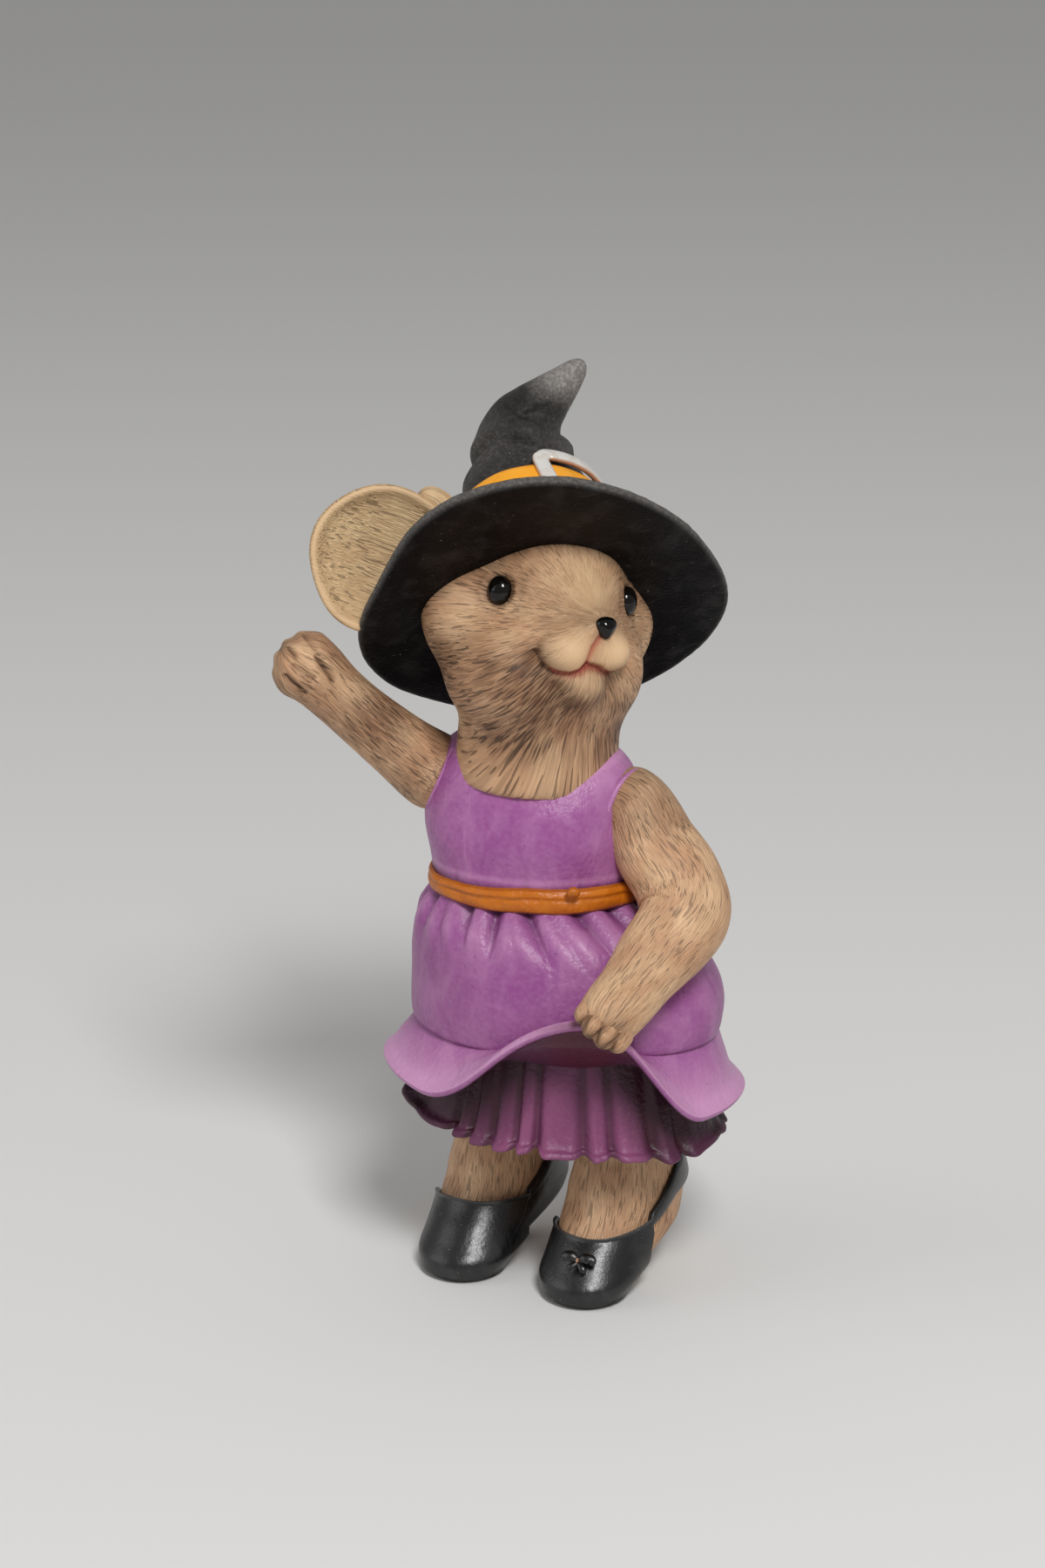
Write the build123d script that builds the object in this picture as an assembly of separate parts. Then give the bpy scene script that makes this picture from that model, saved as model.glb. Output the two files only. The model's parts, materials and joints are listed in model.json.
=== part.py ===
from build123d import *
import math
import os

# Mouse figurine dressed as a witch: small resin castings, pinned and glued at the seams.
# Millimetres. The front of the figure faces -Y, its left side is +X, and its soles stand on z = 0.
# Turns are in degrees. A table of shares gives stations as parts of the named sizes that they follow.

# Fits
glue_gap = 0.08
overrun = 1.5
pin_radius = 0.8
pin_grip = 7.0
shoulder_grip = 4.0

# Legs and feet
leg_length = 31.0
foot_length = 21.0
foot_half_width = 6.3
foot_turn = -10.0
sole_thickness = 1.2
heel_lift = 5.0
left_foot_x = 10.7
left_foot_y = 7.3
right_foot_x = -8.3
right_foot_y = 10.0

# Shoes
shoe_wall = 0.9
vamp_height = 8.9
strap_rise = 16.6
heel_tip_radius = 1.7
heel_seat_radius = 3.2
shank_half_width = 3.4
bow_span = 3.8
bow_bead_radius = 0.55

# Dress
waist_height = 57.9
waist_x = -1.8
waist_y = -0.65
waist_half_width = 14.2
waist_half_depth = 11.3
bodice_height = 19.8
shoulder_tilt = 8.0
neckline_depth = 5.2
neckline_half_width = 9.8
skirt_x = 2.5
skirt_y = 0.9
skirt_half_width = 21.9
skirt_half_depth = 18.2
puff_height = 20.7
ruffle_drop = 7.4
ruffle_flare = 4.4
ruffle_thickness = 1.4
hem_lift = 14.8
hem_lift_reach = 2.3
hem_lift_angle = 25.0
hem_spreads = (44.0, 66.0)
hem_slope_angle = -3.4
petticoat_drop = 14.2
petticoat_seat = 5.0
petticoat_half_width = 22.0
petticoat_half_depth = 17.4
petticoat_wall = 2.0
hem_recess = 2.6
pleat_depth = 0.8
pleats = 26
sash_width = 3.3
sash_thickness = 1.3
knot_radius = 1.1
knot_angle = 37.0

# Head
head_rise = 35.8
head_half_width = 15.0
head_half_depth = 14.0
head_half_height = 13.6
head_turn = 47.5
head_pitch = -12.0
head_roll = 8.4
snout_length = 5.8
snout_half_width = 5.6
muzzle_radius = 3.5
chin_radius = 3.2
neck_half_width = 9.8
neck_half_depth = 9.0
neck_depth = 9.6
eye_radius = 1.85
eye_spread = 9.9
eye_rise = 3.5
nose_radius = 1.5
ear_radius = 10.4
ear_thickness = 1.5
ear_dish = 2.2
ear_root_radius = 3.0

# Hat
hat_rise = 2.5
hat_turn = 28.5
hat_tilt = -50.5
brim_radius = 25.0
brim_thickness = 1.4
brim_drop = 9.7
hat_seat_depth = 3.4
crown_radius = 10.2
crown_height = 21.6
crown_tip_radius = 1.0
crown_bend = 13.6
band_height = 4.6
band_thickness = 0.8
buckle_width = 12.6
buckle_bar = 2.3
buckle_thickness = 0.8
buckle_turn = 33.0

# Arms
arm_radius = 4.9
elbow_out = 9.4
elbow_forward = 2.0
elbow_drop = 12.2
right_reach = 14.9
right_forward = 8.0
right_raise = 15.2
raised_arm_radius = 3.8
paw_radius = 4.3
finger_radius = 1.5

# Tail
tail_radius = 2.2
tail_tip_radius = 0.8


def oval(x, y, z, half_x, half_y, tilt=0):
    """Level oval face at a place, tipped about Y by a tilt. Its seam is always at the same side, whichever way
    the oval is longer, so that lofts through ovals never twist."""
    steps = 12
    turns = [2 * math.pi * step / steps for step in range(steps)]
    edge = Spline(*[(half_x * math.cos(turn), half_y * math.sin(turn)) for turn in turns], periodic=True)
    return Pos(x, y, z) * Rot(0, tilt, 0) * Face(Wire(edge.edges()))


def ellipsoid(centre, half_x, half_y, half_z):
    """Ball scaled to three half sizes."""
    return Pos(*centre) * scale(Sphere(1), by=(half_x, half_y, half_z))


def path_loft(points, radii):
    """Round limb through circles set square to a path of points."""
    sections = []
    last = len(points) - 1
    for index, point in enumerate(points):
        before = points[max(index - 1, 0)]
        after = points[min(index + 1, last)]
        plane = Plane(origin=point, z_dir=after - before)
        sections.append(plane * Circle(radii[index]).face())
    return loft(sections)


def pin(start, end, grow=0):
    """Straight joining wire between two points."""
    plane = Plane(origin=start, z_dir=end - start)
    return plane * Cylinder(pin_radius + grow, (end - start).length, align=(Align.CENTER, Align.CENTER, Align.MIN))


# Feet: stations from the sole up, in a foot frame whose toe points to -Y and whose heel post is at the origin.
# Each is (height share, centre share, half length share, half width share).
foot_shares = [
    (0.000, 0.680, 0.250, 0.76),
    (0.060, 0.588, 0.326, 0.90),
    (0.128, 0.419, 0.419, 0.96),
    (0.195, 0.262, 0.500, 1.00),
    (0.262, 0.188, 0.488, 1.00),
    (0.342, 0.145, 0.455, 1.00),
    (0.430, 0.138, 0.424, 1.00),
    (0.530, 0.143, 0.371, 0.98),
    (0.644, 0.157, 0.319, 0.97),
    (1.000, 0.160, 0.290, 0.94),
]
ankle_station = 9


def foot_cut(station, grow=0):
    """Level cut through the foot or the shin, in the foot frame."""
    height_share, centre_share, length_share, width_share = station
    height = sole_thickness + height_share * (leg_length - sole_thickness)
    half_width = foot_half_width * width_share + grow
    half_length = foot_length * length_share + grow
    return oval(0, -foot_length * centre_share, height, half_width, half_length)


def shin(grow=0):
    """Straight upper leg, from the ankle up into the petticoat."""
    return loft([foot_cut(station, grow) for station in (foot_shares[ankle_station - 1], foot_shares[-1])])


def foot_body(grow=0):
    """Foot and shin, in the foot frame."""
    return loft([foot_cut(station, grow) for station in foot_shares[:ankle_station]]) + shin(grow)


def side_cut(outline_shares, half_width):
    """Prism across the foot from (length share, height share) points of the shoe seen from its side."""
    points = [(-foot_length * along, strap_rise * up) for along, up in outline_shares]
    face = Plane.YZ * make_face(Polyline(*points, close=True))
    return extrude(face, amount=half_width, both=True)


# Shoe outlines seen from the side, as (share of the foot length from the heel post to the toe,
# share of the strap's rise).
vamp_top_share = vamp_height / strap_rise
vamp_shares = [
    (1.20, 0.0), (1.20, vamp_top_share), (0.70, vamp_top_share), (0.36, 0.64), (0.36, 0.50),
    (0.41, 0.36), (0.43, 0.0),
]
strap_shares = [
    (0.36, 0.64), (0.05, 0.96), (-0.50, 1.10), (-0.50, 0.84), (0.08, 0.70), (0.36, 0.50),
]
quarter_shares = [
    (0.36, 0.52), (0.10, 0.72), (-0.50, 0.86), (-0.50, 0.60), (0.0, 0.42), (0.36, 0.24),
]
shank_shares = [
    (0.56, 0.0), (0.56, 0.24), (0.10, 0.34), (-0.10, 0.40), (-0.10, 0.28), (0.12, 0.20), (0.40, 0.0),
]


def shoe_shell():
    """Skin round the foot, from the floor up past the strap, in the foot frame."""
    floor_station = oval(
        0,
        -foot_length * foot_shares[0][1],
        0,
        foot_half_width * foot_shares[0][3],
        foot_length * foot_shares[0][2],
    )
    sections = [floor_station]
    for station in foot_shares[:ankle_station]:
        sections.append(foot_cut(station, shoe_wall))
    return loft(sections)


foot = foot_body()
foot_socket = foot_body(glue_gap)
shoe_skin = shoe_shell()
shoe_reach = foot_half_width + shoe_wall + overrun


def shoe():
    """Vamp, sole, shank and heel post of one shoe, in the foot frame."""
    vamp = shoe_skin & side_cut(vamp_shares, shoe_reach)
    shank = side_cut(shank_shares, shank_half_width)
    post = loft([
        oval(0, 0, 0, heel_tip_radius, heel_tip_radius),
        oval(0, 0, heel_lift + overrun, heel_seat_radius, heel_seat_radius),
    ])
    return vamp + shank + post - foot_socket


def quarter():
    """Closed side of a shoe below its strap, on the foot's +X side only."""
    half = Pos(shoe_reach, 0, 0) * Box(2 * shoe_reach, 4 * foot_length, 4 * strap_rise)
    return (shoe_skin & side_cut(quarter_shares, shoe_reach) & half) - foot_socket


left_foot_place = Location((left_foot_x, left_foot_y, 0)) * Rot(0, 0, foot_turn)
right_foot_place = Location((right_foot_x, right_foot_y, 0)) * Rot(0, 0, foot_turn)
one_shoe = shoe()
one_strap = (shoe_skin & side_cut(strap_shares, shoe_reach)) - foot_socket
left_leg = left_foot_place * foot
right_leg = right_foot_place * foot
left_shoe = left_foot_place * one_shoe
right_shoe = right_foot_place * one_shoe
left_shoe_strap = left_foot_place * one_strap
right_shoe_strap = right_foot_place * (one_strap + quarter())
bow_shares = (0.12, -0.875, 0.64)
bow_lean = 50


def shoe_bow():
    """Two small loops, two ends and a bead, on the front of the vamp, in the foot frame."""
    knot = Vector(*[size * share for size, share in zip((foot_half_width, foot_length, vamp_height), bow_shares)])
    lie = Location(knot) * Rot(bow_lean, 0, 0)
    loop_half = bow_span / 4
    left_loop = ellipsoid((loop_half, 0, 0), loop_half * 1.2, loop_half * 0.7, shoe_wall)
    right_loop = ellipsoid((-loop_half, 0, 0), loop_half * 1.2, loop_half * 0.7, shoe_wall)
    bead = ellipsoid((0, 0, shoe_wall / 2), bow_bead_radius, bow_bead_radius, bow_bead_radius)
    bow = left_loop + right_loop + bead
    return lie * bow - shoe_skin


left_shoe_bow = left_foot_place * shoe_bow()

# Skirt: the puff's stations run down from the waist, as (height share, centre share from waist to skirt,
# half width share, half depth share).
puff_bottom = waist_height - puff_height
puff_shares = [
    (1.00, 0.00, 0.620, 0.590),
    (0.93, 0.06, 0.665, 0.655),
    (0.80, 0.25, 0.800, 0.780),
    (0.62, 0.55, 0.900, 0.890),
    (0.42, 0.85, 0.970, 0.965),
    (0.24, 1.00, 1.000, 1.000),
    (0.09, 1.00, 0.985, 0.985),
    (0.00, 1.00, 0.935, 0.930),
]


def puff(grow=0):
    """Gathered upper skirt."""
    sections = []
    for height_share, centre_share, width_share, depth_share in puff_shares:
        x = waist_x + centre_share * (skirt_x - waist_x)
        y = waist_y + centre_share * (skirt_y - waist_y)
        height = puff_bottom + height_share * puff_height
        sections.append(
            oval(x, y, height, skirt_half_width * width_share + grow, skirt_half_depth * depth_share + grow))
    return loft(sections)


def oval_radius(angle, half_x, half_y):
    """Distance from an oval's centre to its edge, at an angle from the front."""
    return 1 / math.hypot(math.sin(angle) / half_x, math.cos(angle) / half_y)


def hem_bump(angle):
    """How much of the lift the hem has at an angle: full at the paw, none past the spread."""
    turn = math.degrees(angle) - hem_lift_angle
    turn = (turn + 180) % 360 - 180
    spread = hem_spreads[0] if turn > 0 else hem_spreads[1]
    return math.cos(math.radians(90 * turn / spread)) ** 2 if abs(turn) < spread else 0


def ruffle_section(angle, grow=0):
    """Cut through the flared hem, in the upright plane that leaves the skirt's centre at an angle."""
    bump = hem_bump(angle)
    crease = oval_radius(angle, skirt_half_width, skirt_half_depth) - ruffle_thickness
    rim = crease + ruffle_flare + ruffle_thickness * 0.5 + hem_lift_reach * bump
    crease_height = puff_bottom + ruffle_thickness * 0.6 + 0.12 * hem_lift * bump
    slope = math.tan(math.radians(hem_slope_angle)) * rim * math.sin(angle)
    rim_height = puff_bottom - ruffle_drop + hem_lift * bump + slope
    middle = crease + (rim - crease) * (0.45 + 0.2 * bump)
    middle_height = crease_height + (rim_height - crease_height) * (0.55 - 0.15 * bump)
    root = crease - 2 * ruffle_thickness
    upright = ruffle_thickness * 0.5 + grow
    plane = Plane(origin=(skirt_x, skirt_y, 0), x_dir=(math.sin(angle), -math.cos(angle), 0),
                  z_dir=(-math.cos(angle), -math.sin(angle), 0))
    upper = Spline(
        (root, crease_height + upright), (crease, crease_height + upright),
        (middle, middle_height + upright), (rim + grow, rim_height + upright))
    lower = Spline(
        (rim + grow, rim_height - upright), (middle, middle_height - upright),
        (crease, crease_height - upright), (root, crease_height - upright))
    edge = Line(upper @ 1, lower @ 0)
    back = Line(lower @ 1, upper @ 0)
    wire = Wire([*upper.edges(), *edge.edges(), *lower.edges(), *back.edges()])
    return plane * Face(wire)


def ring_loft(section, steps_half, grow=0):
    """Loft cuts round a full turn, as two halves joined."""
    halves = []
    for start in (0, math.pi):
        cuts = [section(start + math.pi * step / steps_half, grow) for step in range(steps_half + 1)]
        halves.append(loft(cuts))
    return halves[0] + halves[1]


def overskirt_body(grow=0):
    return puff(grow) + ring_loft(ruffle_section, 12, grow)


def pleated_face(height, half_x, half_y, depth, tilt=0):
    """Level face whose edge swings in and out once for each pleat."""
    points = []
    steps = pleats * 4
    for step in range(steps):
        angle = 2 * math.pi * step / steps
        radius = oval_radius(angle, half_x, half_y) + depth * math.cos(pleats * angle)
        points.append((radius * math.sin(angle), -radius * math.cos(angle)))
    edge = Spline(*points, periodic=True)
    return Pos(skirt_x, skirt_y, height) * Rot(0, tilt, 0) * Face(Wire(edge.edges()))


petticoat_hem = puff_bottom - petticoat_drop
petticoat_top = puff_bottom + petticoat_seat
petticoat_shares = [(1.0, 0.80, 0.25), (0.5, 0.87, 0.7), (0.0, 1.0, 1.0)]


def petticoat_body():
    """Pleated underskirt, from its seat inside the puff down to the hem."""
    sections = []
    for height_share, size_share, depth_share in petticoat_shares:
        sections.append(pleated_face(
            petticoat_hem + height_share * (petticoat_top - petticoat_hem),
            petticoat_half_width * size_share,
            petticoat_half_depth * size_share,
            pleat_depth * depth_share,
            -hem_slope_angle * (1 - height_share)))
    return loft(sections)


def petticoat_room():
    """Smooth hollow that clears the pleats of the petticoat."""
    sections = []
    for height_share, size_share, depth_share in petticoat_shares:
        clear = pleat_depth * depth_share + glue_gap
        top_gap = glue_gap if height_share == 1 else 0
        sections.append(oval(
            skirt_x, skirt_y, petticoat_hem + height_share * (petticoat_top - petticoat_hem) + top_gap,
            petticoat_half_width * size_share + clear, petticoat_half_depth * size_share + clear,
            -hem_slope_angle * (1 - height_share)))
    return loft(sections)


recess = loft([
    oval(skirt_x, skirt_y, petticoat_hem - overrun, petticoat_half_width - petticoat_wall,
         petticoat_half_depth - petticoat_wall, -hem_slope_angle),
    oval(skirt_x, skirt_y, petticoat_hem + hem_recess, petticoat_half_width - 2 * petticoat_wall,
         petticoat_half_depth - 2 * petticoat_wall, -hem_slope_angle),
])

# Torso: stations from the waist up, as (height share, half width share, half depth share, tilt share).
bodice_shares = [
    (0.00, 1.00, 1.00, 0.0),
    (0.12, 1.01, 1.01, 0.1),
    (0.32, 1.02, 1.01, 0.3),
    (0.55, 1.02, 0.97, 0.5),
    (0.73, 1.01, 0.88, 0.7),
    (0.88, 0.97, 0.72, 0.9),
    (1.00, 0.80, 0.52, 1.0),
]


def torso(grow=0):
    """Chest under the dress, from the waist seam to the shoulder tops."""
    sections = []
    for height_share, width_share, depth_share, tilt_share in bodice_shares:
        sections.append(oval(
            waist_x, waist_y, waist_height + height_share * bodice_height,
            waist_half_width * width_share + grow, waist_half_depth * depth_share + grow,
            shoulder_tilt * tilt_share))
    return loft(sections)


# Neck: stations from the root inside the torso up to the jaw, as (height share, width share, depth share).
shoulder_height = waist_height + bodice_height
neck_root = shoulder_height - neck_depth
head_height = waist_height + head_rise
neck_shares = [
    (0.00, 0.86, 0.80),
    (0.22, 1.00, 1.00),
    (0.42, 1.01, 1.03),
    (0.62, 0.97, 0.98),
    (0.80, 0.95, 0.97),
    (1.00, 0.80, 0.80),
]


def neck(grow=0):
    """Neck and the fur of the upper chest, which the neckline shows."""
    sections = []
    for height_share, width_share, depth_share in neck_shares:
        sections.append(oval(
            waist_x + height_share * -waist_x, waist_y, neck_root - grow + height_share * (head_height - neck_root),
            neck_half_width * width_share + grow, neck_half_depth * depth_share + grow))
    return loft(sections)


head_place = (Location((0, 0, head_height)) * Rot(0, 0, head_turn) * Rot(head_pitch, 0, 0)
              * Rot(0, head_roll, 0))
hat_place = Location((0, 0, head_height + hat_rise)) * Rot(0, 0, hat_turn) * Rot(hat_tilt, 0, 0)

# Head: level cuts in the head frame, which faces -Y, as (height share, half width share, back share,
# front share, snout share).
head_shares = [
    (-1.04, 0.34, 0.36, 0.36, 0.00),
    (-0.96, 0.57, 0.60, 0.60, 0.00),
    (-0.78, 0.80, 0.80, 0.80, 0.10),
    (-0.52, 0.96, 0.93, 0.86, 0.40),
    (-0.26, 1.00, 1.00, 0.84, 0.78),
    (0.00, 0.96, 1.01, 0.76, 1.00),
    (0.22, 0.86, 0.99, 0.62, 0.80),
    (0.44, 0.79, 0.93, 0.56, 0.42),
    (0.66, 0.67, 0.81, 0.48, 0.20),
    (0.84, 0.48, 0.60, 0.36, 0.00),
]


def head_cut(height, half_width, back, front, snout):
    """Level outline of the head: an egg with the snout drawn out of its front."""
    points = []
    steps = 24
    for step in range(steps):
        angle = 2 * math.pi * step / steps
        x = half_width * math.sin(angle)
        depth = front if math.cos(angle) > 0 else back
        nose_push = snout * math.exp(-(x / snout_half_width) ** 2) if math.cos(angle) > 0 else 0
        points.append((x, -depth * math.cos(angle) - nose_push))
    return Pos(0, 0, height) * Face(Wire(Spline(*points, periodic=True).edges()))


def skull():
    """Head without its neck, in the head frame."""
    cuts = []
    for height_share, width_share, back_share, front_share, snout_share in head_shares:
        cuts.append(head_cut(
            head_half_height * height_share, head_half_width * width_share, head_half_depth * back_share,
            head_half_depth * front_share, snout_length * snout_share))
    return loft(cuts)


nose_reach = 0.76 * head_half_depth + snout_length
muzzle_shares = (1.02, -0.78, -1.35)
chin_shares = (-0.72, -2.75)


def muzzle():
    """Two whisker pads and the chin, in the head frame."""
    out = nose_reach * muzzle_shares[1]
    drop = muzzle_radius * muzzle_shares[2]
    side = muzzle_radius * muzzle_shares[0]
    pads = [ellipsoid((side * turn, out, drop), muzzle_radius * 1.15, muzzle_radius, muzzle_radius * 0.95)
            for turn in (-1, 1)]
    chin = ellipsoid((0, nose_reach * chin_shares[0], chin_radius * chin_shares[1]), chin_radius * 1.1,
                     chin_radius, chin_radius)
    return pads[0] + pads[1] + chin


eye_reach = 0.42 * head_half_depth


def eye(side, grow=0):
    """Bead set in its socket, in the head frame."""
    return Pos(side * eye_spread, -eye_reach, eye_rise) * Sphere(eye_radius + grow)


def nose_bead(grow=0):
    return ellipsoid((0, -nose_reach, 0), nose_radius + grow, nose_radius + grow, nose_radius * 1.1 + grow)


# Hat: profiles in the hat frame, whose axis is Z and whose rim lies on z = 0.
hat_seat = brim_drop - hat_seat_depth
seat_radius = crown_radius * 1.2


def brim_point(radius_share, side):
    """Point on the drooping brim, from the crown's foot (0) to the rim (1), below (-1) or above (1) its middle."""
    radius = crown_radius + radius_share * (brim_radius - crown_radius)
    return (radius, brim_drop * (1 - radius_share) ** 1.15 + side * brim_thickness / 2)


def hat_under_profile(grow=0):
    """Everything above the brim's underside, as a half section for cutting the head to its seat."""
    rim_x, rim_z = brim_point(1, -1)
    middle_x, middle_z = brim_point(0.5, -1)
    return [(0, hat_seat - grow), (seat_radius + grow, hat_seat - grow), (middle_x, middle_z - grow),
            (rim_x, rim_z - grow)]


def brim():
    """Brim and the solid seat inside the crown's foot."""
    under = Spline(brim_point(0.12, -1), brim_point(0.5, -1), brim_point(1, -1))
    edge = ThreePointArc(
        brim_point(1, -1), (brim_radius + brim_thickness / 2, 0), brim_point(1, 1))
    over = Spline(brim_point(1, 1), brim_point(0.5, 1), brim_point(0, 1))
    seat = Polyline(over @ 1, (0, brim_drop + brim_thickness / 2), (0, hat_seat), (seat_radius, hat_seat),
                    brim_point(0.12, -1))
    outline = Wire([*under.edges(), *edge.edges(), *over.edges(), *seat.edges()])
    return revolve(Plane.XZ * Face(outline), axis=Axis.Z)


# Crown: stations along its bent axis, as (sideways share, forward share, height share, radius share).
crown_shares = [
    (0.00, 0.00, 0.00, 1.00),
    (0.00, 0.00, 0.14, 0.92),
    (0.00, 0.00, 0.34, 0.80),
    (0.00, 0.06, 0.60, 0.68),
    (0.06, 0.22, 0.82, 0.56),
    (0.24, 0.44, 0.95, 0.40),
    (0.44, 0.62, 0.99, 0.24),
]


def crown(grow=0):
    """Bent cone of the hat."""
    points = []
    radii = []
    for side_share, front_share, height_share, radius_share in crown_shares:
        points.append(Vector(
            crown_bend * side_share, -crown_bend * front_share, brim_drop + crown_height * height_share))
        radii.append(crown_radius * radius_share + grow)
    points.append(Vector(crown_bend * 0.64, -crown_bend * 0.78, brim_drop + crown_height))
    radii.append(crown_tip_radius + grow)
    return path_loft(points, radii)


def hat_band_ring(inner_grow, outer_grow, low, high):
    """Sleeve round the crown between two heights above its foot."""
    slab = Pos(0, 0, brim_drop + low) * Cylinder(
        crown_radius * 2, high - low, align=(Align.CENTER, Align.CENTER, Align.MIN))
    return (crown(outer_grow) - crown(inner_grow)) & slab


band_low = brim_thickness / 2 + glue_gap
band_high = band_low + band_height
band_grow = glue_gap + band_thickness
buckle_grow = band_grow + glue_gap


def buckle():
    """Square frame bent round the band."""
    frame_high = band_high + buckle_bar * 0.4
    middle = (band_low + frame_high) / 2
    plate = Box(buckle_width, 4 * crown_radius, frame_high - band_low,
                align=(Align.CENTER, Align.MAX, Align.CENTER))
    window = Box(buckle_width - 2 * buckle_bar, 4 * crown_radius, frame_high - band_low - buckle_bar,
                 align=(Align.CENTER, Align.MAX, Align.CENTER))
    frame = Rot(0, 0, buckle_turn) * Pos(0, 0, brim_drop + middle) * (plate - window)
    return hat_band_ring(buckle_grow, buckle_grow + buckle_thickness, band_low, frame_high) & frame


under_points = hat_under_profile(glue_gap)
hat_space = revolve(Plane.XZ * Face(Wire(Polyline(
    *under_points, (brim_radius + overrun, under_points[-1][1]), (brim_radius + overrun, 2 * crown_height),
    (0, 2 * crown_height), close=True).edges())), axis=Axis.Z)
over_points = [brim_point(1, 1), brim_point(0.5, 1), brim_point(0, 1)]
over_points = [(x, z + glue_gap) for x, z in over_points]
brim_space = revolve(Plane.XZ * Face(Wire(Polyline(
    *over_points, (0, over_points[-1][1]), (0, -crown_height),
    (brim_radius + brim_thickness, -crown_height), (brim_radius + brim_thickness, over_points[0][1]),
    close=True).edges())), axis=Axis.Z)

# Ears: the right one is placed in the head frame and the left one mirrors it.
ear_shares = (1.37, 0.66, 0.55)
ear_face_turn = 15.0
ear_face_lean = 8.0


def ear(side):
    """Dished disc with a lump at its root, in the head frame."""
    place = (Location((side * head_half_width * ear_shares[0], head_half_depth * ear_shares[1],
                       head_half_height * ear_shares[2]))
             * Rot(0, 0, side * ear_face_turn) * Rot(ear_face_lean, 0, 0))
    bowl_radius = (ear_radius ** 2 + ear_dish ** 2) / (2 * ear_dish)
    disc = Rot(90, 0, 0) * Cylinder(ear_radius, 2 * (ear_dish + ear_thickness))
    outer = Pos(0, ear_dish / 2 - bowl_radius, 0) * Sphere(bowl_radius + ear_thickness)
    inner = Pos(0, ear_dish / 2 - bowl_radius, 0) * Sphere(bowl_radius)
    root = ellipsoid((-side * ear_radius * 0.74, ear_thickness, 0), ear_root_radius * 1.2,
                     ear_root_radius * 0.8, ear_root_radius * 1.4)
    shell = disc & outer
    return place * (shell + root - inner)


# Arms
def between(start, end, share):
    return start + (end - start) * share


left_shoulder = Vector(waist_x + waist_half_width * 0.98, waist_y, waist_height + bodice_height * 0.60)
left_root = left_shoulder - Vector(arm_radius * 0.7, 0, -arm_radius * 0.3)
left_elbow = left_shoulder + Vector(elbow_out, -elbow_forward, -elbow_drop)
grip_angle = math.radians(hem_lift_angle)
grip_radius = (oval_radius(grip_angle, skirt_half_width, skirt_half_depth) + ruffle_flare + hem_lift_reach)
hem_grip = Vector(
    skirt_x + grip_radius * math.sin(grip_angle),
    skirt_y - grip_radius * math.cos(grip_angle),
    puff_bottom - ruffle_drop + hem_lift)
left_palm = hem_grip + Vector(paw_radius * 0.50, -paw_radius * 0.05, paw_radius * 0.20)


def left_arm_body(grow=0):
    """Bent arm, from its root in the armhole to the wrist."""
    points = [
        left_root,
        left_shoulder,
        between(left_shoulder, left_elbow, 0.45),
        between(left_shoulder, left_elbow, 0.85),
        between(left_elbow, left_palm, 0.16) + Vector(arm_radius * 0.06, 0, 0),
        between(left_elbow, left_palm, 0.45),
        between(left_elbow, left_palm, 0.78),
        left_palm,
    ]
    radius_shares = (0.86, 1.0, 1.02, 1.12, 1.14, 0.96, 0.80, 0.66)
    return path_loft(points, [arm_radius * share + grow for share in radius_shares])


def left_paw(grow=0):
    """Palm, four fingers over the hem and the thumb."""
    paw = ellipsoid(left_palm, paw_radius * 0.92 + grow, paw_radius * 0.86 + grow, paw_radius * 0.80 + grow)
    for step in range(4):
        tip = hem_grip + Vector(
            paw_radius * (0.95 - 0.52 * step), -paw_radius * (0.34 + 0.06 * step), -paw_radius * (0.56 - 0.10 * step))
        knuckle = between(tip, left_palm, 0.45) + Vector(0, -finger_radius * 0.4, 0)
        paw = paw + path_loft(
            [between(left_palm, tip, 0.3), knuckle, tip],
            [finger_radius * 0.9 + grow, finger_radius + grow, finger_radius * 0.75 + grow])
    return paw


right_shoulder = Vector(waist_x - waist_half_width * 0.95, waist_y - waist_half_depth * 0.18,
                        waist_height + bodice_height * 0.74)
right_root = right_shoulder + Vector(raised_arm_radius, 0, -raised_arm_radius * 0.5)
right_palm = right_shoulder + Vector(-right_reach, -right_forward, right_raise)


def right_arm_body(grow=0):
    """Raised arm, from its root in the armhole to the wrist."""
    points = [
        right_root,
        right_shoulder,
        between(right_shoulder, right_palm, 0.25) + Vector(0, 0, -raised_arm_radius * 0.12),
        between(right_shoulder, right_palm, 0.50) + Vector(0, 0, -raised_arm_radius * 0.18),
        between(right_shoulder, right_palm, 0.78) + Vector(0, 0, -raised_arm_radius * 0.10),
        right_palm,
    ]
    radius_shares = (1.25, 1.25, 1.02, 0.95, 0.95, 0.9)
    return path_loft(points, [raised_arm_radius * share + grow for share in radius_shares])


def right_paw():
    """Half-closed waving paw: palm, four fingers curled over its top and the thumb."""
    paw = ellipsoid(right_palm, paw_radius * 0.95, paw_radius * 0.85, paw_radius * 0.92)
    for step in range(4):
        turn = math.radians(150 - 38 * step)
        knuckle = right_palm + Vector(
            paw_radius * 0.78 * math.cos(turn), -paw_radius * 0.1, paw_radius * 0.72 * math.sin(turn))
        tip = knuckle + Vector(0, -finger_radius * 1.5, -finger_radius * 0.5)
        paw = paw + path_loft([right_palm, knuckle, tip], [finger_radius, finger_radius * 1.1, finger_radius * 0.8])
    return paw


# Tail: stations down and round the back of the skirt, as (turn from the back in degrees, height share of the puff).
tail_stations = [(4, 0.44), (2, 0.34), (-8, 0.24), (-22, 0.21), (-36, 0.25), (-48, 0.34), (-54, 0.46)]


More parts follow.
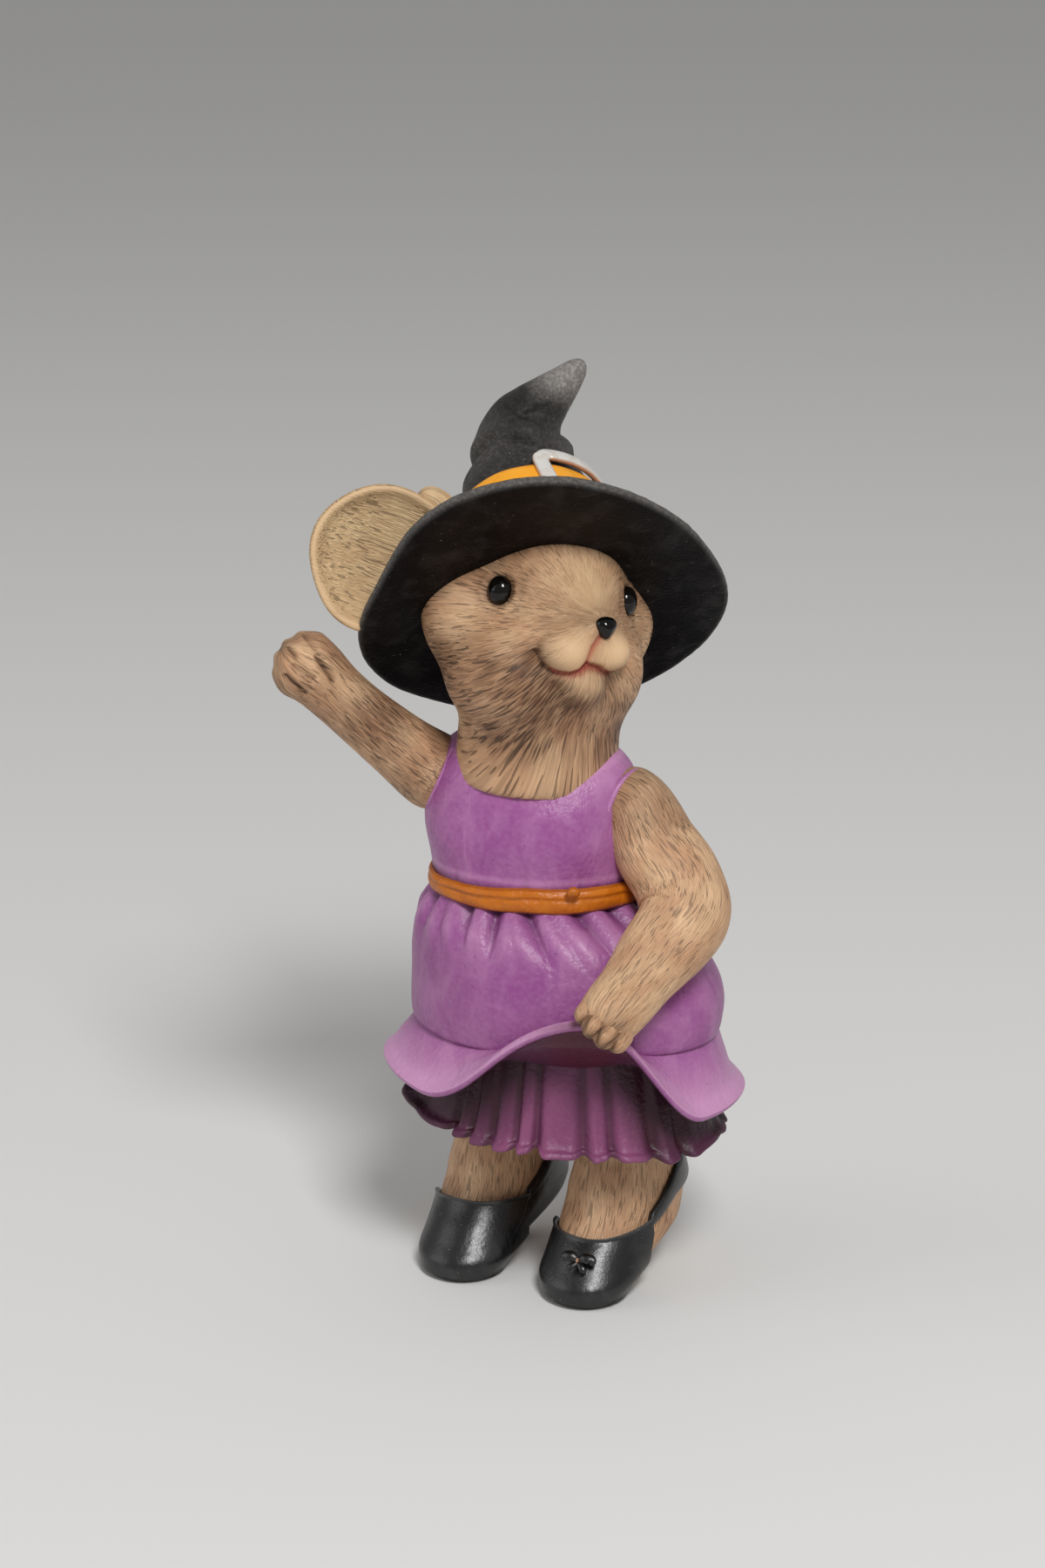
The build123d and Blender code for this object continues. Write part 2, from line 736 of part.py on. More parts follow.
def skirt_radius(height_share):
    """Half sizes of the puff at a height share, read between its stations."""
    for upper, lower in zip(puff_shares, puff_shares[1:]):
        if lower[0] <= height_share <= upper[0]:
            part = (height_share - lower[0]) / (upper[0] - lower[0])
            mixed = [low + part * (high - low) for low, high in zip(lower, upper)]
            return mixed
    return puff_shares[-1]


def tail_body(grow=0):
    """Tapered tail that leaves the skirt at the back and curls against it."""
    points = []
    radii = []
    for index, (turn, height_share) in enumerate(tail_stations):
        _, centre_share, width_share, depth_share = skirt_radius(height_share)
        angle = math.radians(180 - turn)
        share = index / (len(tail_stations) - 1)
        radius = tail_radius + (tail_tip_radius - tail_radius) * share
        lay = oval_radius(angle, skirt_half_width * width_share, skirt_half_depth * depth_share) + radius * 0.75
        if index == 0:
            lay = lay - 2 * tail_radius
        x = waist_x + centre_share * (skirt_x - waist_x) + lay * math.sin(angle)
        y = waist_y + centre_share * (skirt_y - waist_y) - lay * math.cos(angle)
        points.append(Vector(x, y, puff_bottom + puff_height * height_share))
        radii.append(radius + grow)
    return path_loft(points, radii)


# Sash: stations across the band, as (height share, thickness share).
sash_shares = [(-0.50, 0.80), (-0.30, 1.0), (0.0, 1.0), (0.30, 0.92), (0.50, 0.45)]
knot_shares = (0.3, 1.3, 1.1)


def sash():
    """Rounded band over the waist seam, with a small knot on its upper edge."""
    sections = []
    for height_share, thickness_share in sash_shares:
        thickness = sash_thickness * thickness_share
        sections.append(oval(waist_x, waist_y, waist_height + sash_width * height_share,
                             waist_half_width + thickness, waist_half_depth + thickness))
    angle = math.radians(knot_angle)
    reach = oval_radius(angle, waist_half_width + sash_thickness, waist_half_depth + sash_thickness)
    place = Pos(waist_x + reach * math.sin(angle), waist_y - reach * math.cos(angle),
                waist_height + sash_width * knot_shares[0])
    knot = place * Rot(90, 0, knot_angle) * ellipsoid(
        (0, 0, 0), knot_radius * knot_shares[1], knot_radius, knot_radius * knot_shares[2])
    return loft(sections) - torso(glue_gap) - puff(glue_gap) + knot


# Pins
def leg_pin(foot_place, grow=0):
    start = Vector(*(foot_place * Location((0, -foot_length * 0.16, leg_length - pin_grip))).position)
    end = Vector(start.X, start.Y, puff_bottom + pin_grip + grow)
    return pin(start, end, grow)


neck_pin_start = Vector(waist_x, waist_y, neck_root - pin_grip)
neck_pin_end = Vector(waist_x, waist_y, neck_root + pin_grip)
left_pin_ends = [left_shoulder + Vector(way * shoulder_grip, 0, 0) for way in (-0.85, 1)]
right_pin_way = (right_palm - right_shoulder).normalized() * shoulder_grip
right_pin_ends = [right_shoulder - right_pin_way * 1.3, right_shoulder + right_pin_way * 1.3]
hat_pin_ends = [Vector(*(hat_place * Location((0, 0, hat_seat + way * pin_grip))).position) for way in (-1, 1)]


# Bodies, each cut to seat on its neighbours
head_solid = neck() + head_place * (skull() + muzzle())
head = head_solid - hat_place * hat_space - pin(neck_pin_start, neck_pin_end, glue_gap)
head = head - pin(*hat_pin_ends, glue_gap)
left_eye = head_place * eye(1)
right_eye = head_place * eye(-1)
nose = head_place * nose_bead()
head = head - head_place * eye(1, glue_gap) - head_place * eye(-1, glue_gap) - head_place * nose_bead(glue_gap)

witch_hat = hat_place * (brim() + crown()) - pin(*hat_pin_ends, glue_gap)
hat_band = hat_place * hat_band_ring(glue_gap, band_grow, band_low, band_high)
hat_buckle = hat_place * buckle()
ear_clear = hat_place * (brim_space + crown(buckle_grow))
right_ear = head_place * ear(-1) - ear_clear
left_ear = head_place * ear(1) - ear_clear

neck_socket = neck(glue_gap)
left_arm_pocket = left_arm_body(glue_gap)
right_arm_pocket = right_arm_body(glue_gap)
neckline = Pos(waist_x, 0, shoulder_height + neckline_half_width - neckline_depth) * Rot(90, 0, 0) * Cylinder(
    neckline_half_width, 6 * waist_half_depth)
bodice = torso() - neckline - neck_socket - left_arm_pocket - right_arm_pocket
bodice = bodice - pin(neck_pin_start, neck_pin_end, glue_gap)
bodice = bodice - pin(*left_pin_ends, glue_gap) - pin(*right_pin_ends, glue_gap)
left_arm = left_arm_body() + left_paw() - pin(*left_pin_ends, glue_gap) - neck_socket
right_arm = right_arm_body() + right_paw() - pin(*right_pin_ends, glue_gap) - neck_socket

skirt_keepout = overskirt_body(glue_gap)
left_arm = left_arm - skirt_keepout
overskirt = overskirt_body() - petticoat_room() - tail_body(glue_gap)
petticoat = petticoat_body() - recess
for foot_place in (left_foot_place, right_foot_place):
    petticoat = petticoat - foot_place * shin(glue_gap) - leg_pin(foot_place, glue_gap)
    overskirt = overskirt - leg_pin(foot_place, glue_gap)
left_leg = left_leg - leg_pin(left_foot_place, glue_gap)
right_leg = right_leg - leg_pin(right_foot_place, glue_gap)

pieces = {
    "bodice": bodice,
    "overskirt": overskirt,
    "petticoat": petticoat,
    "waist_sash": sash(),
    "head": head,
    "nose": nose,
    "left_eye": left_eye,
    "right_eye": right_eye,
    "left_ear": left_ear,
    "right_ear": right_ear,
    "witch_hat": witch_hat,
    "hat_band": hat_band,
    "hat_buckle": hat_buckle,
    "left_arm": left_arm,
    "right_arm": right_arm,
    "left_leg": left_leg,
    "right_leg": right_leg,
    "left_shoe": left_shoe,
    "right_shoe": right_shoe,
    "left_shoe_strap": left_shoe_strap,
    "right_shoe_strap": right_shoe_strap,
    "left_shoe_bow": left_shoe_bow,
    "tail": tail_body(),
    "neck_pin": pin(neck_pin_start, neck_pin_end),
    "left_shoulder_pin": pin(*left_pin_ends),
    "right_shoulder_pin": pin(*right_pin_ends),
    "left_leg_pin": leg_pin(left_foot_place),
    "right_leg_pin": leg_pin(right_foot_place),
    "hat_pin": pin(*hat_pin_ends),
}

# The origin is under the middle of the whole figure, on the floor.
boxes = [piece.bounding_box() for piece in pieces.values()]
middle_x = (min(box.min.X for box in boxes) + max(box.max.X for box in boxes)) / 2
middle_y = (min(box.min.Y for box in boxes) + max(box.max.Y for box in boxes)) / 2
lowest = min(box.min.Z for box in boxes)
to_origin = Pos(-middle_x, -middle_y, -lowest)

os.makedirs("parts", exist_ok=True)
for name, piece in pieces.items():
    export_step(to_origin * piece, "parts/" + name + ".step")
print("moved by", round(-middle_x, 3), round(-middle_y, 3), round(-lowest, 3))
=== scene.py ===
# %% [markdown]
# # A hand-painted resin mouse in a witch's dress
# The real ornament is a stack of small cold-cast resin castings, pinned, glued and painted by hand. The CAD
# frame gives every casting its place. This lesson gives each one its sculpted surface and its paint.
# All shapes are worked out in millimetres, in a frame whose front is -Y, whose left side is +X and whose
# soles stand on zero, and they are moved to the CAD's place and to metres only when a mesh is made.

# %% Load the CAD frame
import json
import bpy
import numpy as np
from mathutils import Matrix

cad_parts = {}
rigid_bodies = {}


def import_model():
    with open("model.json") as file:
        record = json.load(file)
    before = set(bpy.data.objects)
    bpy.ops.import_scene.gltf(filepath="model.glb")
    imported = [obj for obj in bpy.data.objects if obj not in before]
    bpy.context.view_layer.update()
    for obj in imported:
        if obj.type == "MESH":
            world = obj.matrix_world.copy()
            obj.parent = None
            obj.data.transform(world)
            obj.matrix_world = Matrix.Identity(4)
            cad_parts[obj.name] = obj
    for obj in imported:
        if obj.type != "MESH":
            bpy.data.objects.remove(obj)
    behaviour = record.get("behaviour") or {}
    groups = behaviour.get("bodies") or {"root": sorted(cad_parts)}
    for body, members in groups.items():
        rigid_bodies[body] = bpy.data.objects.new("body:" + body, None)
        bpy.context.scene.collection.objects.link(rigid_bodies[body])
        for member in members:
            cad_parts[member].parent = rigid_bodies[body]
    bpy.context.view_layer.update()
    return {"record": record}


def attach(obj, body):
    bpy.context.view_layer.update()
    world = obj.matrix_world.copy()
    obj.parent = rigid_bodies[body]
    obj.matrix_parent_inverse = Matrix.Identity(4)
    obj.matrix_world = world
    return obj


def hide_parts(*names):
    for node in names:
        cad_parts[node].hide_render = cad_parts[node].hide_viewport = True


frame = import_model()
scene = bpy.context.scene
sole_in_working_frame = np.array([8.220, -6.763, 0.0])
left_sole = next(mount for mount in frame["record"]["mounts"] if mount["name"] == "left_sole")
shift = np.array(left_sole["pos_m"]) * 1000 - sole_in_working_frame
print("shift from the working frame in mm:", shift.round(3))

# %% [markdown]
# ## From a grid of points to a casting
# Every surface here is a grid: rows run along the piece and columns run round it. One function turns grids
# into a mesh, closes their ends with a fan, and turns the faces outwards by the sign of the volume that
# they enclose. It also stores what the brush needs at each point: `flow`, the way the fur or the cloth
# runs in millimetres, the dark share, how much dark paint lies there as a wash and as painted shade,
# `pale`, how much light paint lies there, in places as a painted highlight, and `red`.


# %% Short names for what repeats
sin, cos = np.sin, np.cos


def cut(value, low=0, high=1):
    """The value, held between a low and a high limit."""
    return np.clip(value, low, high)


def norm(vectors):
    """Length of each vector."""
    return np.linalg.norm(vectors, axis=-1)


def unit(vectors):
    """Each vector at length 1."""
    return vectors / norm(vectors)[..., None]


def circle(count):
    """Even turns once round, in radians."""
    return np.linspace(0, 2 * np.pi, count, endpoint=False)


def bell(value, width=1.0):
    """exp(-(value / width) ^ 2): 1 at zero, and almost 0 at two widths."""
    return np.exp(-(value / width) ** 2)


def blob(points, centre, reach):
    """Bell of the distance from a centre, over one reach or one for each axis."""
    return bell(norm((points - np.array(centre)) / reach))


def grid(*parts):
    """Numbers or arrays that fit each other, joined into one array of points."""
    return np.stack(np.broadcast_arrays(*parts), -1)


def oval(turn, x, y, z, wide, deep):
    """Level oval round (x, y) at height z: a turn of 0 is its front, and a quarter turn is its left side."""
    return grid(x + wide * sin(turn), y - deep * cos(turn), z)


def spokes(points):
    """From the middle of each row to each of its points."""
    return points - points.mean(1, keepdims=True)


def squarish(value, power):
    """Sine or cosine pushed towards -1 and 1 by a power below 1, which squares a round section off."""
    return np.sign(value) * np.abs(value) ** power


def turn_matrix(about_z=0.0, about_x=0.0, about_y=0.0):
    """Rotation about Y, then X, then Z, by angles in degrees, as one 3 by 3 matrix."""
    z, x, y = np.radians([about_z, about_x, about_y])
    spin = np.array([[cos(z), -sin(z), 0], [sin(z), cos(z), 0], [0, 0, 1]])
    nod = np.array([[1, 0, 0], [0, cos(x), -sin(x)], [0, sin(x), cos(x)]])
    roll = np.array([[cos(y), 0, sin(y)], [0, 1, 0], [-sin(y), 0, cos(y)]])
    return spin @ nod @ roll


# %% Mesh from grids
def grid_quads(rows, columns, wrap_rows, wrap_columns):
    """Corner numbers of each square: point (i, j), its neighbour in the row, and the two in the next row."""
    i, j = np.meshgrid(np.arange(rows if wrap_rows else rows - 1),
                       np.arange(columns if wrap_columns else columns - 1), indexing="ij")
    up, along = (i + 1) % rows, (j + 1) % columns
    square = [i * columns + j, i * columns + along, up * columns + along, up * columns + j]
    return np.stack(square, -1).reshape(-1, 4)


def patch(points, wrap_rows=False, wrap_columns=True, flow=None, **paint):
    """One grid of points with its paint. A fan closes the first and the last row, unless the rows wrap."""
    return {"points": points, "wrap": (wrap_rows, wrap_columns), "flow": points if flow is None else flow,
            "paint": paint}


def volume(points, faces):
    """Six times the signed volume: the sum of a . (b x c) over the triangles that the faces fall into."""
    corners = [points[faces[:, corner]] for corner in range(faces.shape[1])]
    return sum((corners[0] * np.cross(b, c)).sum() for b, c in zip(corners[1:], corners[2:]))


def casting(name, patches, slot, node=None):
    """Join patches into one mesh in its slot's paint, which rides on the body and stands for its CAD node."""
    points, flows, faces, paint, first = [], [], [[], []], {"wash": [], "pale": [], "red": []}, 0
    for part in patches:
        rows, columns = part["points"].shape[:2]
        dots = part["points"].reshape(-1, 3)
        flow = np.broadcast_to(part["flow"], part["points"].shape).reshape(-1, 3)
        tones = {key: np.broadcast_to(part["paint"].get(key, 0.0), (rows, columns)).reshape(-1)
                 for key in paint}
        squares, fans = grid_quads(rows, columns, *part["wrap"]), [np.zeros((0, 3), int)]
        for row in () if part["wrap"][0] else (0, rows - 1):
            ring = row * columns + np.arange(columns)
            fan = np.stack([np.roll(ring, -1), ring, np.full(columns, len(dots))], -1)
            fans.append(fan if row == 0 else fan[:, ::-1])
            dots = np.vstack([dots, dots[ring].mean(0)])
            flow = np.vstack([flow, flow[ring].mean(0)])
            tones = {key: np.append(value, value[ring].mean()) for key, value in tones.items()}
        fans = np.vstack(fans)
        middle = dots - dots.mean(0)
        way = -1 if volume(middle, squares) + volume(middle, fans) < 0 else 1
        points.append(dots)
        flows.append(flow)
        for held, new in zip(faces, (squares, fans)):
            held += (new[:, ::way] + first).tolist()
        for key in paint:
            paint[key].append(tones[key])
        first += len(dots)
    mesh = bpy.data.meshes.new(name)
    mesh.from_pydata(((np.vstack(points) + shift) / 1000).tolist(), [], faces[0] + faces[1])
    mesh.attributes.new("flow", "FLOAT_VECTOR", "POINT").data.foreach_set("vector", np.vstack(flows).ravel())
    for key, values in paint.items():
        mesh.attributes.new(key, "FLOAT", "POINT").data.foreach_set("value", np.concatenate(values))
    mesh.polygons.foreach_set("use_smooth", np.ones(len(mesh.polygons), bool))
    mesh.materials.append(coats[slot])
    mesh.update()
    piece = bpy.data.objects.new(name, mesh)
    scene.collection.objects.link(piece)
    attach(piece, "root")
    if node:
        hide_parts(node)
    foot = round(float(np.vstack(points)[:, 2].min()), 2)
    print(name, "has", len(mesh.polygons), "faces and starts at z", foot, "mm")


# %% [markdown]
# ## Curves, limbs and melted balls
# Three tools make every sculpted form. `through` draws a smooth curve through a few stations. `limb` carries
# a ring along such a curve. `skin` finds the surface of several balls that melt into each other, by walking
# in along a ray for each grid point, which is how a modeller builds a head out of lumps of clay.


# %% Shape helpers
def through(stations, count):
    """Catmull-Rom curve: each span is the cubic that leaves a station along the line between its neighbours."""
    stations = np.asarray(stations, float)
    last = len(stations) - 1
    place = np.linspace(0, last, count)
    i = cut(np.floor(place).astype(int), 0, last - 1)
    f = (place - i).reshape(-1, *[1] * (stations.ndim - 1))
    a, b = stations[np.maximum(i - 1, 0)], stations[i]
    c, d = stations[i + 1], stations[np.minimum(i + 2, last)]
    return 0.5 * (2 * b + (c - a) * f + (2 * a - 5 * b + 4 * c - d) * f ** 2 + (3 * b - a - 3 * c + d) * f ** 3)


def uneven(points, size, seed=0.0):
    """Slow waves that cross each other: sums of sines of the place over the size, between -1 and 1."""
    x, y, z = np.moveaxis(points / size, -1, 0)
    return (sin(1.7 * x + 1.3 * sin(y + seed) + seed) + sin(1.9 * y + 1.1 * sin(z + 2 * seed) + 2.1)
            + sin(1.5 * z + 1.2 * sin(x + 3 * seed) + 4.2)) / 3


def limb(path, radii, rows=60, columns=40, flat=1.0, lead=(0, 0, 1), ends=(True, True), lumps=0.0, blunt=1.0):
    """Ring of growing and shrinking radius, square to a path, flattened by a share that may change along it.
    A closed end is rounded: near it the radius is multiplied by the root of one minus the square of how deep
    the ring is in the end's half ball. A blunt end has a shallower ball."""
    share = 0.5 - 0.5 * cos(np.pi * np.linspace(0, 1, rows))
    fine = through(path, 400)
    length = np.concatenate([[0], np.cumsum(norm(np.diff(fine, axis=0)))])
    at = share * length[-1]
    centre = grid(*(np.interp(at, length, fine[:, axis]) for axis in range(3)))
    radius = np.interp(at, length, through(radii, 400))
    for closed, depth in zip(ends, (at, length[-1] - at)):
        if closed:
            radius = radius * np.sqrt(cut(1 - cut(1 - depth / (blunt * radius), 0, 0.995) ** 2))
    tangent = unit(np.gradient(centre, axis=0))
    side = unit(np.cross(tangent, lead))
    up = np.cross(side, tangent)
    turn = circle(columns)
    flat = np.interp(share, np.linspace(0, 1, np.size(flat)), np.atleast_1d(flat))[:, None, None]
    spoke = cos(turn)[None, :, None] * side[:, None] + flat * sin(turn)[None, :, None] * up[:, None]
    points = centre[:, None] + radius[:, None, None] * spoke
    points = points + spoke * (lumps * uneven(points, 3.0, radii[0]))[..., None]
    return patch(points, flow=grid(at[:, None], np.mean(radii) * cos(turn), np.mean(radii) * sin(turn)))


def painted(part, wash):
    """The same grid with another share of dark paint."""
    return {**part, "paint": {"wash": wash}}


def ball(points, centre, half):
    """Rough distance to a stretched ball: k (k - 1) / g, with k the scaled distance and g its slope."""
    away = points - np.asarray(centre, float)
    k = norm(away / half)
    return k * (k - 1) / np.maximum(norm(away / np.square(half)), 1e-9)


def to_segment(points, start, end):
    """Distance to a straight segment, and the share of the way along it where it is nearest."""
    run = np.subtract(end, start)
    along = cut((points - start) @ run / (run @ run))
    return norm(points - start - along[..., None] * run), along


def cone(points, start, end, start_radius, end_radius):
    """Distance to a straight limb whose radius changes evenly from its start to its end."""
    gap, along = to_segment(points, start, end)
    return gap - (start_radius + along * (end_radius - start_radius))


def melt(a, b, soft):
    """Smooth least of two distances, rounded over a width of soft."""
    mix = cut(0.5 + 0.5 * (b - a) / soft)
    return b * (1 - mix) + a * mix - soft * mix * (1 - mix)


def skin(ways, field):
    """Walk in from far along each ray until the field turns negative, then halve the step 14 times."""
    far, steps = 24.0, 60
    reach, found = np.zeros(ways.shape[:2]), np.zeros(ways.shape[:2], bool)
    for step in np.linspace(far, 0, steps):
        inside = field(step * ways) < 0
        reach = np.where(inside & ~found, step, reach)
        found |= inside
    low, high = reach, reach + far / (steps - 1)
    for _ in range(14):
        middle = (low + high) / 2
        inside = field(middle[..., None] * ways) < 0
        low, high = np.where(inside, middle, low), np.where(inside, high, middle)
    return (low + high) / 2


def near_line(ways, line, radius):
    """Distance in mm, on a ball of this radius, from each way to a line of points given as ways."""
    line = unit(np.asarray(line, float))
    nearest = np.full(ways.shape[:2], 1e9)
    for start, end in zip(line, line[1:]):
        nearest = np.minimum(nearest, to_segment(ways, start, end)[0])
    return nearest * radius


# %% [markdown]
# ## The paints
# The castings are all the same stone-filled resin. What the eye sees is paint: a flat coat, then a thin dark
# wash that runs into every carved line, then a lighter dry brush over what stands proud. Fur and cloth have
# all three layers. The dark layer also lays painted shade in creases, under things and under the brim, and the
# light layer lays painted highlights on the dress and the hat. Colours are sRGB, as a paint chart gives them,
# and one function makes them linear.


# %% Paint helpers
def linear(chart):
    """sRGB hex to linear: below 0.04045 divide by 12.92, above it ((c + 0.055) / 1.055) ^ 2.4."""
    values = np.array([int(chart[i:i + 2], 16) for i in (1, 3, 5)]) / 255
    curve = np.where(values <= 0.04045, values / 12.92, ((values + 0.055) / 1.055) ** 2.4)
    return (*curve.tolist(), 1.0)


def add(tree, kind, settings=None, inputs=None, output=0):
    """Add a node, set its fields, set each input or join it to another node's output, and give one output."""
    node = tree.nodes.new(kind)
    for field, value in (settings or {}).items():
        setattr(node, field, value)
    for socket, value in (inputs or {}).items():
        if isinstance(value, bpy.types.NodeSocket):
            tree.links.new(value, node.inputs[socket])
        else:
            node.inputs[socket].default_value = value
    return node.outputs[output]


multiply, subtract, sum_up = ({"operation": name, "use_clamp": True}
                              for name in ("MULTIPLY", "SUBTRACT", "ADD"))
flow_of_mesh = {"attribute_name": "flow"}


def new_paint(name, roughness, ior=1.5, metallic=0.0):
    """Material whose one Principled shader has its even values on its own sockets, and its node tree."""
    material = bpy.data.materials.new(name)
    material.use_nodes = True
    shader = material.node_tree.nodes["Principled BSDF"]
    for socket, value in (("Roughness", roughness), ("IOR", ior), ("Metallic", metallic)):
        shader.inputs[socket].default_value = value
    return material, material.node_tree


def pattern(tree, spot, size, detail=2.0, low=0.4, high=0.6, rough=0.5, warp=0.0):
    """Noise stretched to a size in mm along each axis of a place in mm, cut to 0 below low and 1 above high."""
    scaled = add(tree, "ShaderNodeMapping", None, {"Vector": spot, "Scale": tuple(1 / value for value in size)})
    noise = add(tree, "ShaderNodeTexNoise", None, {
        "Vector": scaled, "Scale": 1.0, "Detail": detail, "Roughness": rough, "Distortion": warp})
    return add(tree, "ShaderNodeMapRange", {"interpolation_type": "SMOOTHSTEP"}, {
        "Value": noise, "From Min": low, "From Max": high})


def layers(tree, colour, *coats_over):
    """Coats over a first colour. Each coat is a share and the chart colour that it brings."""
    colour = linear(colour)
    for share, paint in coats_over:
        colour = add(tree, "ShaderNodeMix", {"data_type": "RGBA"}, {0: share, 6: colour, 7: linear(paint)}, 2)
    return colour


def lay(material, colour, height=None, depth=0.0):
    """Give the paint its colour and a bump whose full height is a depth in mm."""
    tree = material.node_tree
    shader = tree.nodes["Principled BSDF"]
    tree.links.new(colour, shader.inputs["Base Color"])
    if height is not None:
        bump = add(tree, "ShaderNodeBump", None, {"Strength": 1.0, "Distance": depth / 1000, "Height": height})
        tree.links.new(bump, shader.inputs["Normal"])
    return material


# %% [markdown]
# ## Fur paint
# The fur is carved with a knife into the clay before it is cast: strokes about 0.25 mm wide and 2.5 mm long,
# which all run the way the coat lies. A tan coat is painted over it and brown wash is rubbed into the cuts.
# The same brown also lays painted shade under the jaw and the brim, round the eyes, on the raised arm and on
# the tops of the legs.
# The noise is stretched along `flow`, so that it follows each limb and radiates from the nose on the face.


# %% Fur
def fur_paint(name, coat, light, wash_colour, stroke=(2.3, 0.22, 0.22), depth=0.12):
    """Tan coat, brown paint between the hairs, brown over the coat where the mesh asks for it, which is a
    wash in places and painted shade in others, and dark paint in the deepest cuts; pale skin has no cuts.
    """
    material, tree = new_paint(name, 0.55, 1.42)
    flow = add(tree, "ShaderNodeAttribute", flow_of_mesh, None, "Vector")
    wash, pale, red = (add(tree, "ShaderNodeAttribute", {"attribute_name": key}, None, "Fac")
                       for key in ("wash", "pale", "red"))
    hairs = pattern(tree, flow, (2.6, 0.22, 0.22), 2.0, 0.32, 0.68, 0.55, 0.15)
    strokes = pattern(tree, flow, stroke, 1.0, 0.605, 0.640, 0.4, 0.2)
    cloud = pattern(tree, flow, (6.0, 4.0, 4.0), 3.0, 0.30, 0.72)
    carved = add(tree, "ShaderNodeMath", subtract, {0: 1.0, 1: pale})
    often = add(tree, "ShaderNodeMapRange", None, {"Value": wash, "To Min": 0.55, "To Max": 0.95})
    cuts = add(tree, "ShaderNodeMath", multiply, {0: strokes, 1: carved})
    cuts = add(tree, "ShaderNodeMath", multiply, {0: cuts, 1: often})
    gaps = add(tree, "ShaderNodeMath", subtract, {0: 1.0, 1: hairs})
    faint = add(tree, "ShaderNodeMath", multiply, {0: carved, 1: 0.20})
    between = add(tree, "ShaderNodeMath", multiply, {0: gaps, 1: faint})
    held = add(tree, "ShaderNodeMapRange", None, {"Value": hairs, "To Min": 1.0, "To Max": 0.55})
    # brown over the coat: wash in places, and painted shade under the jaw and the brim, round the eyes, on the
    # raised arm and at the top of the legs
    brown_wash_and_shade = add(tree, "ShaderNodeMath", multiply, {0: wash, 1: held})
    dark = add(tree, "ShaderNodeMath", multiply, {0: cuts, 1: 0.88})
    colour = layers(tree, coat, (cloud, light), (pale, "#E0BD93"), (brown_wash_and_shade, wash_colour),
                    (between, wash_colour), (dark, "#2F1D10"), (red, "#A8483C"))
    uncut = add(tree, "ShaderNodeMath", subtract, {0: 1.0, 1: cuts})
    proud = add(tree, "ShaderNodeMapRange", None, {"Value": hairs, "To Min": 0.35, "To Max": 1.0})
    height = add(tree, "ShaderNodeMath", multiply, {0: uncut, 1: proud})
    height = add(tree, "ShaderNodeMix", {"data_type": "FLOAT"}, {0: pale, 2: height, 3: 0.8})
    return lay(material, colour, height, depth)


ear_stroke = (9.0, 0.30, 0.30)
coats = {"fur_paint": fur_paint("tan coat over carved fur", "#C99B76", "#E4BC94", "#50301A"),
         "ear_paint": fur_paint("cream coat in the ear", "#D9B68A", "#ECCD9E", "#7A5634", ear_stroke, 0.16)}
print("fur strokes are about 0.25 mm wide, which is as fine as the render shows")

# %% [markdown]
# ## Dress, sash and ribbon paint
# Cloth on a resin figure is smooth clay with soft folds, so its paint has no weave. It has a satin coat that
# varies as a brush leaves it, painted shade that makes it darker and redder in the folds and under things, and
# a painted highlight on what stands proud and faces the light.


# %% Cloth paints
def cloth_paint(name, coat, light, deep, red_colour, roughness=0.46, spread=5.0):
    """Satin coat with brushed patches of a spread in mm, a fine grain and small dark specks."""
    material, tree = new_paint(name, roughness, 1.42)
    flow = add(tree, "ShaderNodeAttribute", flow_of_mesh, None, "Vector")
    wash, pale, red = (add(tree, "ShaderNodeAttribute", {"attribute_name": key}, None, "Fac")
                       for key in ("wash", "pale", "red"))
    brushed = pattern(tree, flow, (spread, spread, spread * 1.6), 3.0, 0.32, 0.72, 0.55, 0.6)
    grain = pattern(tree, flow, (0.7, 0.7, 0.7), 2.0, 0.30, 0.75)
    specks = pattern(tree, flow, (0.45, 0.45, 0.6), 1.0, 0.74, 0.80)
    bloom, dust, chips, relief = (
        add(tree, "ShaderNodeMath", multiply, {0: layer, 1: strength})
        for layer, strength in ((brushed, 0.30), (grain, 0.12), (specks, 0.55), (grain, 0.5)))
    # pale lays a painted highlight in the light colour; the dark share lays painted shade in the deep colour,
    # and red makes that shade redder
    colour = layers(tree, coat, (bloom, light), (dust, light), (pale, light), (wash, deep), (red, red_colour),
                    (chips, deep))
    return lay(material, colour, add(tree, "ShaderNodeMath", sum_up, {0: brushed, 1: relief}), 0.10)


coats["dress_paint"] = cloth_paint("satin purple dress coat", "#92498A", "#CE98C0", "#31142B", "#4C1020", 0.40)
coats["petticoat_paint"] = cloth_paint("dark purple underskirt coat", "#763A62", "#96567A", "#220D19",
                                       "#40121E")
coats["sash_paint"] = cloth_paint("burnt orange sash coat", "#B9620A", "#DA841C", "#6B3208", "#5A2808",
                                  0.40, 3.0)
coats["band_paint"] = cloth_paint("bright orange ribbon coat", "#F7A31C", "#FBBB48", "#9A5210", "#8E4A10",
                                  0.42, 3.0)
print("cloth paints for", list(coats)[2:])
